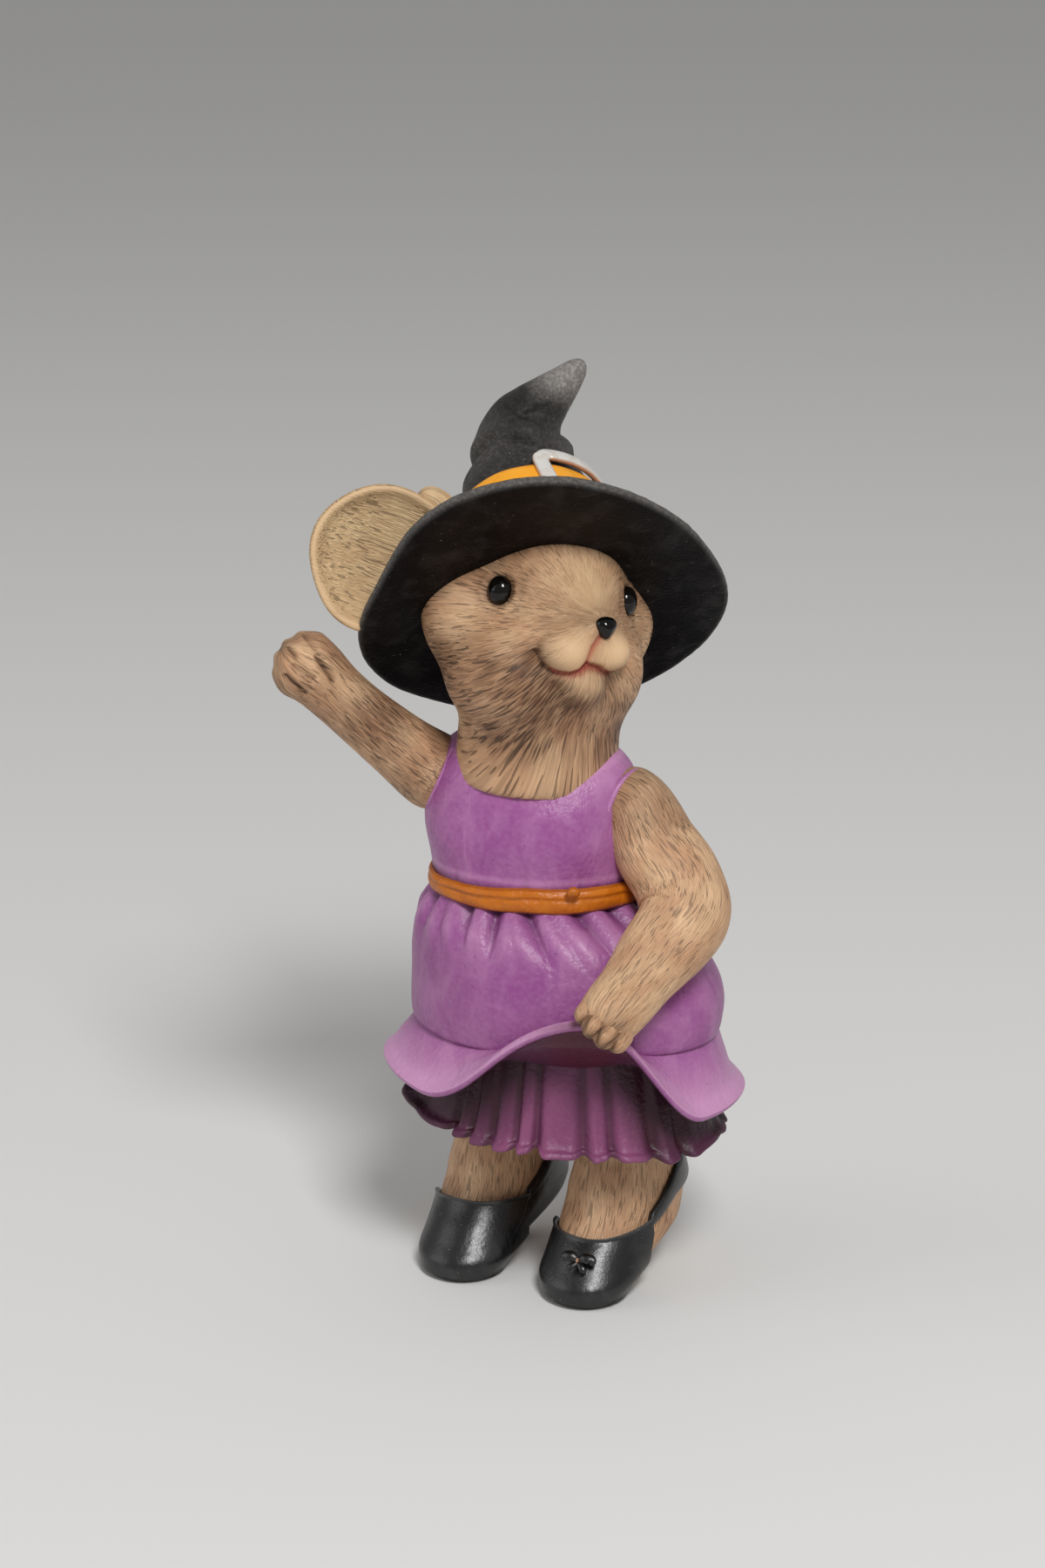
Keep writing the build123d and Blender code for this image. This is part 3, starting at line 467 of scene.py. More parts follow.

# %% [markdown]
# ## Black, silver and glass-like paints
# The hat and the shoes are satin black that has rubbed through to grey where fingers touch it, and the
# hat's crown also has a grey painted sheen. The buckle is silver paint over orange. The eyes and the nose
# are gloss black enamel, as hard and bright as beads.


# %% Hard paints
def black_paint(name, coat, wear_and_sheen_colour, roughness, scuff, depth, ior):
    """Satin black, rubbed grey in soft patches and where the mesh's pale share asks: on rubbed edges, and as a
    painted sheen on the hat's crown.
    """
    material, tree = new_paint(name, roughness, ior)
    flow = add(tree, "ShaderNodeAttribute", flow_of_mesh, None, "Vector")
    pale = add(tree, "ShaderNodeAttribute", {"attribute_name": "pale"}, None, "Fac")
    rubbed = pattern(tree, flow, (4.0, 4.0, 5.0), 4.0, 0.45, 0.75, 0.6, 0.4)
    grit = pattern(tree, flow, (0.5, 0.5, 0.5), 3.0, 0.42, 0.62, 0.6)
    specks = pattern(tree, flow, (0.40, 0.40, 0.40), 1.0, 0.76, 0.80)
    rough_edge = add(tree, "ShaderNodeMapRange", None, {"Value": grit, "To Min": 0.62, "To Max": 1.0})
    # edge greys the coat where the pale share asks: rubbed edges, and a painted sheen on the hat's crown
    edge, scuffs, chips, relief = (
        add(tree, "ShaderNodeMath", multiply, {0: layer, 1: strength})
        for layer, strength in ((pale, rough_edge), (rubbed, scuff), (specks, 0.45), (grit, 0.3)))
    colour = layers(tree, coat, (scuffs, wear_and_sheen_colour), (edge, wear_and_sheen_colour), (chips, "#A9A5A0"))
    return lay(material, colour, add(tree, "ShaderNodeMath", sum_up, {0: rubbed, 1: relief}), depth)


coats["hat_paint"] = black_paint("rubbed satin black hat coat", "#040405", "#928D89", 0.44, 0.05, 0.07, 1.20)
coats["shoe_paint"] = black_paint("satin gunmetal shoe coat", "#0A0A0B", "#6C6A68", 0.33, 0.12, 0.03, 1.62)
material, tree = new_paint("silver paint over orange", 0.30, 1.5, 0.35)
flow = add(tree, "ShaderNodeAttribute", flow_of_mesh, None, "Vector")
wash = add(tree, "ShaderNodeAttribute", {"attribute_name": "wash"}, None, "Fac")
flecks = pattern(tree, flow, (1.2, 1.2, 1.2), 3.0, 0.40, 0.70)
dull = add(tree, "ShaderNodeMath", multiply, {0: flecks, 1: 0.35})
silver = layers(tree, "#F2EEE8", (dull, "#D9C4AC"), (wash, "#B4713A"))
coats["silver_paint"] = lay(material, silver, flecks, 0.05)
material, tree = new_paint("gloss black enamel bead", 0.07, 1.40)
flow = add(tree, "ShaderNodeAttribute", flow_of_mesh, None, "Vector")
cloud = pattern(tree, flow, (2.0, 2.0, 2.0), 2.0, 0.3, 0.7)
coats["black_bead"] = lay(material, layers(tree, "#060505", (cloud, "#120D0A")))
material, tree = new_paint("drawn steel joining wire", 0.32, 1.5, 1.0)
along_wire = add(tree, "ShaderNodeTexCoord", None, None, "Object")
drawn = pattern(tree, along_wire, (0.0002, 0.0002, 0.004), 2.0, 0.3, 0.7)
coats["steel_wire"] = lay(material, layers(tree, "#A9A9A9", (drawn, "#C6C6C4")))
print("paints:", {slot: material.name for slot, material in coats.items()})

# %% [markdown]
# ## Head
# The head is sculpted as clay: a skull, two full cheeks, a snout, two whisker pads, a chin and a throat, all
# melted together. Its grid has one pole at the nose and one at the back of the head, so rows are rings round
# the nose and the carved strokes run back from it. The eyes sit in soft hollows, and the mouth is a cut line.

# %% Head and hat frames
head_turn, head_centre = turn_matrix(45.2, -12.0, 8.4), np.array([0.0, 0.0, 93.7])
hat_turn, hat_centre = turn_matrix(28.5, -50.5), np.array([0.0, 0.0, 96.2])
crown_foot, brim_edge, brim_rise, half_brim = 10.2, 25.0, 9.7, 0.7
neck_top, neck_foot = (-0.6, -1.0, 85.5), (-1.6, -0.9, 73.0)
throat = (np.array([neck_top, neck_foot]) - head_centre) @ head_turn
eye_sink = 0.75
sockets, lids, mouth_cut, lip_cut, corner_cut = 0.8, 0.35, 0.75, 0.45, 0.8


def from_head(points):
    """Head's frame to the working frame."""
    return points @ head_turn.T + head_centre


def from_hat(points):
    """Hat's frame, whose z runs up its crown, to the working frame."""
    return points @ hat_turn.T + hat_centre


def to_hat(points):
    """Working frame to the hat's frame."""
    return (points - hat_centre) @ hat_turn


def brim_share(points):
    """Share of the way from the crown's foot to the brim's edge, in the hat's frame."""
    return cut((np.hypot(points[..., 0], points[..., 1]) - crown_foot) / (brim_edge - crown_foot))


def brim_height(share):
    """Height of the brim's middle: it falls from the crown's foot (0) to the rim (1) as (1 - s) ^ 1.15."""
    return brim_rise * cut(1 - share, 0, None) ** 1.15


def under_height(share):
    """Height of the brim's underside, which is much flatter than its top: it lifts inwards as (1 - s) ^ 1.3."""
    return 2.4 * cut(1 - share, 0, None) ** 1.3 - half_brim


def head_field(points):
    """Lumps of clay, melted one after another, in the head's own frame."""
    clay = ball(points, (0.5, 4.6, 1.0), (16.7, 10.6, 12.8))
    for lump, soft in ((ball(points, (0, 1.2, 1.6), (11.5, 12.2, 12.4)), 2.5),
                       (ball(points, (-6.2, -1.6, -7.4), (8.6, 9.6, 7.8)), 3.0),
                       (ball(points, (4.6, -1.6, -6.2), (7.6, 9.2, 7.9)), 3.0),
                       (ball(points, (0, -4.5, -8.6), (9.0, 8.0, 5.6)), 3.0),
                       (cone(points, (0, -5.0, 1.6), (0.2, -13.9, -0.9), 6.0, 2.7), 3.2),
                       (ball(points, (-0.8, -11.0, -8.5), (3.4, 4.0, 3.0)), 1.4),
                       (ball(points, (-3.7, -13.0, -4.0), (3.2, 3.3, 2.8)), 2.6),
                       (ball(points, (2.6, -13.0, -3.7), (2.9, 3.1, 2.9)), 2.0),
                       (cone(points, *throat, 10.6, 11.0), 2.6)):
        clay = melt(clay, lump, soft)
    return clay


def on_head(way):
    """Where a way from the head's middle leaves the clay, sunk as deep as an eye is."""
    way = unit(np.array(way))[None, None]
    return (way * (skin(way, head_field)[..., None] - eye_sink))[0, 0]


# %% Head shape
eye_places = {"right_eye": on_head((-10.4, -4.9, 3.9)), "left_eye": on_head((8.5, -6.2, 3.1))}
mouth_line = [(-7.1, -10.8, -4.7), (-6.3, -12.0, -6.2), (-4.9, -13.2, -7.1), (-3.3, -14.2, -7.2),
              (-2.1, -14.9, -6.8), (-1.5, -15.3, -6.2), (0.5, -15.1, -6.5), (2.5, -14.0, -7.1),
              (3.4, -13.5, -7.2)]
lip_line = [(0, -16.0, -1.6), (-0.9, -15.8, -3.6), (-1.5, -15.3, -6.2)]
opening = np.concatenate([np.linspace(0, 60, 130, endpoint=False)[1:], np.linspace(60, 179.2, 90)])
away, turn = np.meshgrid(np.radians(opening), circle(300), indexing="ij")
ways = grid(sin(away) * sin(turn), -cos(away), -sin(away) * cos(turn))
reach = skin(ways, head_field)
spots = ways * reach[..., None]
# hollow and lid shape the sockets; round each eye a dark painted rim lies at the bead, with painted shade in
# the socket, deeper by the left eye
hollow, lid, eye_wash = 0, 0, 0
for place in eye_places.values():
    gap = norm(spots - place)
    inner = place + np.array([-0.22 * place[0], -1.2, 0.4])
    hollow = hollow + bell(gap, 3.4)
    lid = lid + bell(gap - 2.7, 0.5)
    eye_wash = (eye_wash + bell(gap - 1.6, 0.8) + 0.5 * blob(spots, inner, 1.8)
                + (0.8 if place[0] > 0 else 0.5) * bell(gap, 4.2))
mouth = bell(near_line(ways, mouth_line, 15.0), 0.42)
lip = bell(near_line(ways, lip_line, 16.0), 0.38)
corner = blob(spots, (-7.0, -11.2, -5.0), 1.5) + 0.5 * blob(spots, (3.6, -13.2, -7.2), 1.5)
reach = (reach - sockets * hollow + lids * lid - mouth_cut * mouth - lip_cut * lip - corner_cut * corner
         + 0.16 * uneven(spots, 2.6, 0.4))
skull = to_hat(from_head(ways * reach[..., None]))
out = brim_share(skull)
skull[..., 2] = np.minimum(skull[..., 2], brim_height(out))

# %% [markdown]
# The pads and the chin are painted pale, and so are the bridge of the nose and the brow, where the pale is
# also a painted highlight. The jaw is dark with wash and with painted shade under it, a painted shade lies
# round the eyes, and a painted shadow lies on the face just under the brim.

# %% Face paint
puffs = sum(np.exp(-(norm(spots - np.array(place)) / 3.1) ** 2.2)
            for place in ((-3.5, -15.5, -4.7), (2.8, -15.5, -4.3)))
# the bridge of the nose and the brow are painted pale, partly as a painted highlight
chin = blob(spots, (-0.8, -14.6, -9.0), (2.6, 3.0, 2.0))
bridge_pale_and_highlight = blob(spots, (0.2, -12.0, 2.0), (3.4, 6.0, 4.0))
brow_pale_and_highlight = blob(spots, (0.8, -9.5, 7.5), (4.2, 6.0, 4.6))
muzzle = cut(puffs + 0.5 * chin + 0.60 * bridge_pale_and_highlight + 0.45 * brow_pale_and_highlight)
# the jaw is darker with brown wash and with painted shade under it, fading lower down the throat
jaw_wash_and_shade = (cut((-spots[..., 2] - 3.8 - 0.25 * spots[..., 0]) / 5.5) * cut(1 - muzzle)
       * cut(0.35 + (from_head(spots)[..., 2] - 75.5) / 5, 0.3, 1))
# painted shadow on the face where it meets the underside of the brim
brim_shadow = np.exp(-cut(under_height(out) - skull[..., 2], 0, 9) / 0.9)
head_patch = patch(
    from_hat(skull), flow=grid(away * 14.5, 12.0 * cos(turn), 12.0 * sin(turn)),
    wash=cut(0.03 + 0.92 * jaw_wash_and_shade * (0.8 + 0.4 * uneven(spots, 4.0, 3.0)) + 0.8 * eye_wash + 0.9 * corner
             + 0.4 * mouth + 0.6 * brim_shadow),
    pale=cut(0.85 * muzzle - mouth - corner),
    red=cut(0.75 * mouth * (puffs > 0.15) + 0.55 * lip + 0.20 * lip ** 0.15 * (puffs > 0.3), 0, 0.85))

# %% [markdown]
# The neck widens into the fur of the upper chest, which fills the neckline. It is a pile of level ovals, and
# its strokes run straight down. It grows darker towards the top, with painted shade under the jaw.

# %% Neck
turn = circle(120)
neck_stations = [  # middle x and y, height, half width, half depth
    (-1.8, -0.65, 68.2, 8.4, 7.2), (-1.6, -0.65, 72.0, 10.2, 9.2), (-1.6, -0.75, 75.0, 10.2, 9.4),
    (-1.4, -0.95, 80.0, 9.6, 9.2), (-0.8, -0.9, 84.5, 9.0, 8.8), (0, -0.65, 92.5, 8.0, 7.4)]
x, y, z, wide, deep = through(neck_stations, 70).T[..., None]
neck = oval(turn, x, y, z, wide, deep)
neck = neck + unit(spokes(neck)) * 0.3 * uneven(neck, 2.4, 1.1)[..., None]
height = neck[..., 2]
neck_patch = patch(neck, flow=grid(height, 9.5 * cos(turn), 9.5 * sin(turn)),
                   wash=cut(0.42 + (height - 75) / 10, 0.22, 0.85))
casting("mouse_head", [head_patch, neck_patch], "fur_paint", "head")


# %% [markdown]
# Eyes and nose are small beads of gloss enamel. A plain ball would look like a pin head, so the eyes are
# taller than wide and the nose is a rounded wedge with two dimples for nostrils.

# %% Eyes and nose
def bead(centre, half, turn=np.eye(3), wedge=0.0, dimples=()):
    """Ball stretched to its half sizes; a wedge narrows it towards its foot and each dimple presses it in."""
    tall, wide = np.meshgrid(np.linspace(-np.pi / 2, np.pi / 2, 42)[1:-1], circle(48), indexing="ij")
    way = grid(cos(tall) * sin(wide), -cos(tall) * cos(wide), sin(tall))
    pressed = sum((0.12 * blob(way, unit(np.array(spot)), 0.35) for spot in dimples), np.zeros(tall.shape))
    points = way * (1 - pressed)[..., None] * half
    points[..., 0] *= 1 + wedge * way[..., 2]
    return patch(from_head(points @ turn.T + centre))


for name, place in eye_places.items():
    eye_turn = turn_matrix(np.sign(place[0]) * 55.0)
    casting(name + "_bead", [bead(place, (1.75, 1.5, 2.0), eye_turn)], "black_bead", name)
nostrils = ((-0.8, -0.8, -0.45), (0.8, -0.8, -0.45))
nose = bead((0.5, -16.3, -0.9), (1.35, 1.3, 1.5), wedge=0.38, dimples=nostrils)
casting("nose_bead", [nose], "black_bead", "nose")

# %% [markdown]
# ## Hat
# The brim is a shallow cone with a thick, worn edge that tips back over the head. Its underside is cast
# almost flat, so the face comes straight out of it. One closed profile is turned round the hat's axis, with a
# radius that changes a little round the rim. The crown is a limb that bends over to one side, with soft folds
# pressed into it. Both are one casting.

# %% Brim
turns = circle(300)
rim_mean = 24.73
rim_waves = ((-1.10, 0.10), (-0.17, 0.21), (0.67, 0.66), (0.02, -0.29), (0.16, 0.36))
rim_radius = rim_mean + sum(a * cos(k * turns) + b * sin(k * turns) for k, (a, b) in enumerate(rim_waves, 1))


def brim_ring(share, side, edge):
    """Ring of the brim at a share of the way out, on its upper (1) or lower (-1) face, or part of the way
    between them round the rim."""
    radius = crown_foot + share * (rim_radius - crown_foot)
    wave = 0.3 * share ** 2 * sin(3 * turns + 0.7) + 0.15 * share ** 2 * sin(7 * turns)
    face = brim_height(share) + half_brim if side > 0 else under_height(share)
    return grid(radius * cos(turns), radius * sin(turns), face + edge + cut(wave, -0.4, 0.4))


brim_profile = np.array(  # share of the way out, side, height from that side, wear
    [(share, -1, 0.0, 0.0) for share in np.linspace(-0.5, 0.95, 50)]
    + [(0.975, -1, 0.05, 0.1), (0.992, -1, 0.2, 0.25), (1.0, -1, 0.45, 0.4), (1.003, -1, 0.75, 0.45),
       (1.0, -1, 1.05, 0.5), (0.99, -1, 1.35, 0.45), (0.97, 1, -0.12, 0.3)]
    + [(share, 1, 0.0, 0.10) for share in np.linspace(0.945, -0.2, 40)])
brim = np.stack([brim_ring(*station[:3]) for station in brim_profile])
wear = brim_profile[:, 3:]
brim[..., 2] += 0.10 * uneven(brim, 2.2, 0.2) + 0.10 * wear * uneven(brim, 0.45, 1.2)
brim[..., :2] *= (1 + 0.0045 * wear * uneven(brim, 0.55, 0.7))[..., None]

# %% Crown
crown_axis = np.array([
    (0.3, 0, 9.9), (-0.3, 0, 12.7), (-1.1, 0, 17.0), (-1.15, 0, 20.4), (-1.1, -0.6, 22.7), (-0.8, -1.6, 25.1),
    (-0.5, -2.9, 26.8), (0.1, -3.9, 28.2), (1.2, -5.2, 29.1), (2.8, -6.8, 29.9), (4.7, -8.4, 31.0),
    (6.3, -9.9, 32.0), (7.5, -11.0, 32.9)])
crown_radii = [10.3, 9.8, 8.9, 7.9, 7.2, 7.0, 6.45, 5.45, 4.3, 3.4, 2.55, 1.75, 1.05]
crown = limb(crown_axis, crown_radii, 130, 140, lead=(0, 1, 0), ends=(False, True))["points"]
spoke = spokes(crown)
wide = norm(spoke)
x, y, z = np.moveaxis(crown, -1, 0)
bend = z - 26.0 - 0.35 * x
roll = z - 20.2 + 0.45 * x
folds = ((-0.75 * bell(bend, 0.8) + 0.45 * bell(bend / 0.8 + 2.2, 1.4)) * cut(0.6 - 0.12 * x)
         - 0.45 * bell(roll) + 0.3 * bell(roll - 2.0, 1.3)) * cut((z - 16) / 4)
folds = folds + 0.40 * uneven(crown, 3.0, 2.0) * cut(wide / 6)
crown = crown + spoke * (folds * cut(wide / 3) / np.maximum(wide, 0.2))[..., None]
crown[..., 2] = np.maximum(crown[..., 2], 10.0)
# the crown's grey is a painted sheen that varies, and the crown grows paler towards its tip
paler_tip = cut((crown[..., 0] + 0.8) / 5) * cut((crown[..., 2] - 27) / 3)
casting("witch_hat_casting", [
    patch(from_hat(brim), flow=brim, pale=wear),
    patch(from_hat(crown), flow=crown, pale=cut(0.22 + 0.14 * uneven(crown, 3.5, 0.5) + paler_tip))],
    "hat_paint", "witch_hat")


# %% [markdown]
# The ribbon is a flat ring that hugs the crown's foot, and the buckle is a frame bent over it. Both follow
# the crown's own axis and radii, so they fit it wherever it leans.

# %% Ribbon
def on_crown(turn, height, proud):
    """Point over the crown at a turn from its front, a height above the brim's top and a gap above it."""
    foot = crown_axis[:7]
    x, y, radius = (np.interp(brim_rise + height, foot[:, 2], values)
                    for values in (foot[:, 0], foot[:, 1], crown_radii[:7]))
    return oval(turn, x, y, brim_rise + height, radius + proud, radius + proud)


rise, proud = through([
    (0.6, 0.0), (0.7, 0.75), (1.6, 0.98), (3.2, 1.02), (5.3, 0.92), (6.0, 0.65), (5.95, 0.0)], 30).T
turn = circle(200)
height = rise[:, None] + 0.12 * sin(3 * turn + 1)
ribbon = on_crown(turn, height, proud[:, None] + 0.05 * sin(9 * turn))
# painted shade along the ribbon's lower and upper edges, where it meets the brim and the crown
casting("hat_ribbon", [patch(from_hat(ribbon), wrap_rows=True, flow=ribbon, wash=cut(
    0.8 * (bell(height - 0.7, 0.35) + bell(height - 6.0, 0.3)), 0, 0.8))], "band_paint", "hat_band")

# %% Buckle
corners = [(-6.2, 2.0), (-6.2, 6.5), (-5.2, 7.5), (4.6, 7.3), (5.6, 6.4), (5.8, 2.0), (4.8, 1.1), (-5.2, 1.1)]
loop = np.array(corners + corners[:1])
length = np.concatenate([[0], np.cumsum(norm(np.diff(loop, axis=0)))])
along = np.linspace(0, length[-1], 160, endpoint=False)
line = grid(*(np.interp(along, length, loop[:, axis]) for axis in range(2)))
for _ in range(3):
    line = (np.roll(line, 1, 0) + 2 * line + np.roll(line, -1, 0)) / 4
run = unit(np.roll(line, -1, 0) - np.roll(line, 1, 0))
across = circle(20)
bar, lift = 1.05 * squarish(cos(across), 0.6), 1.35 + 0.55 * squarish(sin(across), 0.7)
flat = line[:, None] + bar[:, None] * grid(run[:, 1], -run[:, 0])[:, None]
buckle_turn, buckle_bend = np.radians(37), 10.4
buckle = on_crown(buckle_turn + flat[..., 0] / buckle_bend, flat[..., 1], lift)
casting("hat_buckle_frame", [patch(from_hat(buckle), wrap_rows=True, flow=buckle, wash=cut(
    3.0 * cut(np.abs(bar) - 0.85), 0, 0.7))], "silver_paint", "hat_buckle")

# %% [markdown]
# ## Ears
# Each ear is a round dish with a thick rolled rim and a lump of fur at its root. Its grid is rings about the
# middle of the dish, first over the hollow front, then round the rim, then back over the outside. Where an
# ear meets the brim it is pressed flat against it, as wet clay would be.

# %% Ear shape
ear_turn = turn_matrix(47.5, -12.0, 8.4)


def ear_patches(side):
    """Dish: y = 1.1 - 2.2 (r / R)^2 in front; the rim is rolled by half a millimetre; the back is 1.5 mm
    behind."""
    radius, seat = (10.05, (-20.55, 9.24, 7.48)) if side < 0 else (9.3, (18.9, 9.9, 6.6))
    front, lining_rows, groove_lean = np.linspace(0.02, 0.90, 36), 38, np.radians(-18)
    share = np.concatenate([front, [0.94, 0.975, 0.995, 1.0, 0.99, 0.965],
                            np.linspace(0.93, 0.02, 24)])[:, None]
    roll = np.concatenate([-0.55 * bell(front - 0.93, 0.08), [-0.50, -0.25, 0.15, 0.6, 1.05, 1.35],
                           np.full(24, 1.5)])[:, None]
    row, turn = np.arange(len(share))[:, None], circle(160)
    outline = share * radius * (1 + 0.02 * sin(3 * turn + 0.5) + 0.012 * sin(5 * turn))
    x, z = outline * cos(turn), outline * sin(turn)
    hollow = bell(x * side + 3.5, 5.0) * bell(z + 2.0, 5.0)
    y = 1.1 - 2.2 * share ** 2 + roll + np.where(row < len(front), 0.35 * hollow, 0)
    dish = grid(x, y, z)
    dish[..., 1] += 0.12 * uneven(dish, 2.4, 1.7 + side)
    groove = grid(x * cos(groove_lean) + z * sin(groove_lean), z * cos(groove_lean) - x * sin(groove_lean), y)
    lump_path = np.array([(4.6, 0.9, 8.9), (7.0, 1.3, 7.4), (8.8, 1.2, 4.6), (9.0, 0.8, 0.5)]) * (-side, 1, 1)
    lump = limb(lump_path, [1.3, 1.9, 2.3, 2.6], 48, 32, lumps=0.45)
    patches = []
    for points, flow, wash, pale in (
            (dish, groove, np.where(row < lining_rows, 0.12 + 0.25 * hollow, 0.25),
             np.where(row < lining_rows, 0.75 * cut((share - 0.86) / 0.08), 0.0)),
            (lump["points"], lump["flow"], 0.10, 0.35)):
        points = to_hat((points @ turn_matrix(side * 15.0, 8.0).T + seat) @ ear_turn.T + head_centre)
        held = cut((26.0 - np.hypot(points[..., 0], points[..., 1])) / 1.5)
        points[..., 2] += held * np.maximum(brim_height(brim_share(points)) - points[..., 2], 0)
        patches.append(patch(from_hat(points), flow=flow, wash=wash, pale=pale))
    return patches


for side, name in ((-1, "right_ear"), (1, "left_ear")):
    casting(name + "_casting", ear_patches(side), "ear_paint", name)


# %% [markdown]
# ## Dress: bodice
# The bodice is a vest: ovals rise from the waist, lean in over the shoulders to the scooped neckline and turn
# down inside it. Its top edge follows the neckline, low in front and high at the shoulders. A rolled seam
# runs round each armhole.

# %% Walls round an axis
waist_middle = np.array([-1.8, -0.65])


def oval_reach(turn, wide, deep):
    """Distance from an oval's middle to its edge at a turn from the front."""
    return 1 / np.hypot(sin(turn) / wide, cos(turn) / deep)


def from_angle(turn, angle):
    """Degrees from an angle, between -180 and 180."""
    return (np.degrees(turn) - angle + 180) % 360 - 180


def ringed(turn, rows, stations):
    """Closed wall round an axis. Each station holds (middle x, middle y, reach, height), each a number or an
    array over the turns; a smooth curve through the stations gives the rows."""
    full = [grid(*(np.broadcast_to(value, turn.shape) for value in station)) for station in stations]
    x, y, reach, height = np.moveaxis(through(np.stack(full), rows), -1, 0)
    return oval(turn, x, y, height, reach, reach)


# %% Bodice shape
turn, bodice_rows = circle(280), 90
front, back, right_side = (cut(way) ** 1.5 for way in (cos(turn), -cos(turn), -sin(turn)))
tilt = -0.77 * sin(turn)
neck_edge = oval_reach(turn, 10.6, 10.0)
neckline = 77.2 - 4.5 * front - 1.0 * back + tilt
shoulder = 2.6 * sin(turn) ** 4
bodice = ringed(turn, bodice_rows, [(x, waist_middle[1], reach, height) for x, reach, height in (
    (-1.8, oval_reach(turn, 13.4, 10.6), 56.6),
    (-1.8, oval_reach(turn, 14.1, 11.4), 58.4),
    (-1.8, oval_reach(turn, 14.3, 11.4) + 0.3 * right_side, 61.5),
    (-1.8, oval_reach(turn, 14.5, 11.8) + 0.7 * right_side, 65.0),
    (-1.8, oval_reach(turn, 14.5, 11.6) + 0.7 * right_side, 68.3),
    (-1.7, oval_reach(turn, 14.3, 11.1) + 0.6 * right_side, 71.0 - 0.4 * front + tilt * 0.5),
    (-1.6, neck_edge + 0.4 + shoulder, 74.6 - 2.4 * front + tilt),
    (-1.4, neck_edge + 0.1 + shoulder * 0.35, neckline - 0.45),
    (-1.4, neck_edge - 0.6, neckline + 0.15), (-1.4, neck_edge - 1.3, neckline - 0.55),
    (-1.4, neck_edge - 1.9, neckline - 3.0))])
spoke = unit(spokes(bodice))
rise = bodice[..., 2]
pleats = sum(bell(from_angle(turn, angle), 2.0) for angle in (-38, 14, 49, 100, 160, 215, 260))
tuck = cut(1 - np.abs(rise - 60.0) / 3.2) * pleats
inside = np.linspace(0, 1, bodice_rows)[:, None] > 0.86
# painted shade: darker in the tucks, under the sash's top edge and inside the turned-down neckline; painted
# highlight: paler along the neckline, just above the sash and high on the left side, which faces the light
bodice_patch = patch(
    bodice + spoke * (0.38 * uneven(bodice, 4.2, 0.9) * cut((76 - rise) / 6) - 0.16 * tuck)[..., None],
    wash=cut(0.15 * tuck + 0.5 * cut((60.2 - rise) / 0.8) + 0.6 * inside, 0, 0.8),
    pale=cut(0.45 * bell(rise - neckline + 0.2, 0.5) + 0.4 * bell(rise - 60.6, 0.35)
                 + 0.35 * cut(sin(turn)) ** 2 * cut((rise - 70) / 4), 0, 0.7))
bodice_patch["flow"] = bodice_patch["points"]


def seam_ring(centre, normal, wide, tall, thick):
    """Rolled seam: a ring of two half sizes round a centre, square to a normal, with its own thickness."""
    normal = unit(np.array(normal))
    side = unit(np.cross((0, 0, 1), normal))
    up = np.cross(normal, side)
    turn, tube = circle(120)[:, None], circle(14)[:, None]
    spoke = cos(turn) * side * wide + sin(turn) * up * tall
    bulge = cos(tube) * unit(spoke)[:, None] + sin(tube) * normal
    return patch((np.array(centre) + spoke)[:, None] + thick * bulge, wrap_rows=True, pale=0.35)


left_armhole = seam_ring((11.7, -1.1, 68.2), (0.93, -0.32, -0.16), 5.1, 6.2, 0.42)
right_armhole = seam_ring((-14.6, -2.7, 72.2), (-0.86, -0.30, 0.42), 4.6, 5.2, 0.45)
casting("dress_bodice", [bodice_patch, left_armhole, right_armhole], "dress_paint", "bodice")

# %% [markdown]
# ## Dress: overskirt
# The overskirt is a puff gathered under the sash, with a flared hem below a deep crease. At the left paw the
# hem is lifted, and its underside shows, darkened with painted shade. One closed profile goes down the puff,
# out along the hem, round its edge and back underneath, and each height and reach in it is a function of the
# turn.

# %% Overskirt shape
turn, skirt_rows = circle(360), 210
skirt_middle, skirt_wide, skirt_deep = np.array([2.5, 0.9]), 21.9, 18.2
puff_foot, puff_tall, hem_drop, paw_lift = 37.2, 20.7, 6.8, 15.2
paw_angle, hem_slope = 25.0, np.tan(np.radians(3.4))
from_paw = from_angle(turn, paw_angle)
spread = np.where(from_paw > 0, 44.0, 66.0)
bump = np.where(np.abs(from_paw) < spread, cos(np.radians(90 * from_paw / spread)) ** 2, 0)
crease = oval_reach(turn, skirt_wide, skirt_deep) - 1.4
wavy = 0.45 * sin(5 * turn + 0.6) + 0.3 * sin(8 * turn)
rim = crease + 5.1 + 2.3 * bump + 0.35 * wavy - 1.1 * bell(np.degrees(turn) - 95, 40)
crease_height = puff_foot + 0.8 + 1.8 * bump
rim_height = puff_foot - hem_drop + paw_lift * bump - hem_slope * rim * sin(turn) + 0.5 * wavy * (1 - bump)
flare = crease_height - rim_height
middle_reach = crease + (rim - crease) * (0.45 + 0.2 * bump)
middle_height = crease_height - flare * (0.55 - 0.15 * bump)
stations = []
for tall, centre, wide, deep in (  # shares of the puff's height, of the way to its middle, and of its size
        (1.00, 0.00, 0.600, 0.570), (0.94, 0.05, 0.655, 0.640), (0.86, 0.15, 0.725, 0.715),
        (0.72, 0.40, 0.835, 0.830), (0.54, 0.68, 0.925, 0.922), (0.36, 0.92, 0.982, 0.985),
        (0.22, 1.00, 1.006, 1.010), (0.10, 1.00, 1.005, 1.005), (0.02, 1.00, 0.980, 0.978)):
    stations.append((*(waist_middle + centre * (skirt_middle - waist_middle)),
                     oval_reach(turn, skirt_wide * wide, skirt_deep * deep),
                     puff_foot + tall * puff_tall + 1.2 * bump * (tall < 0.2)))
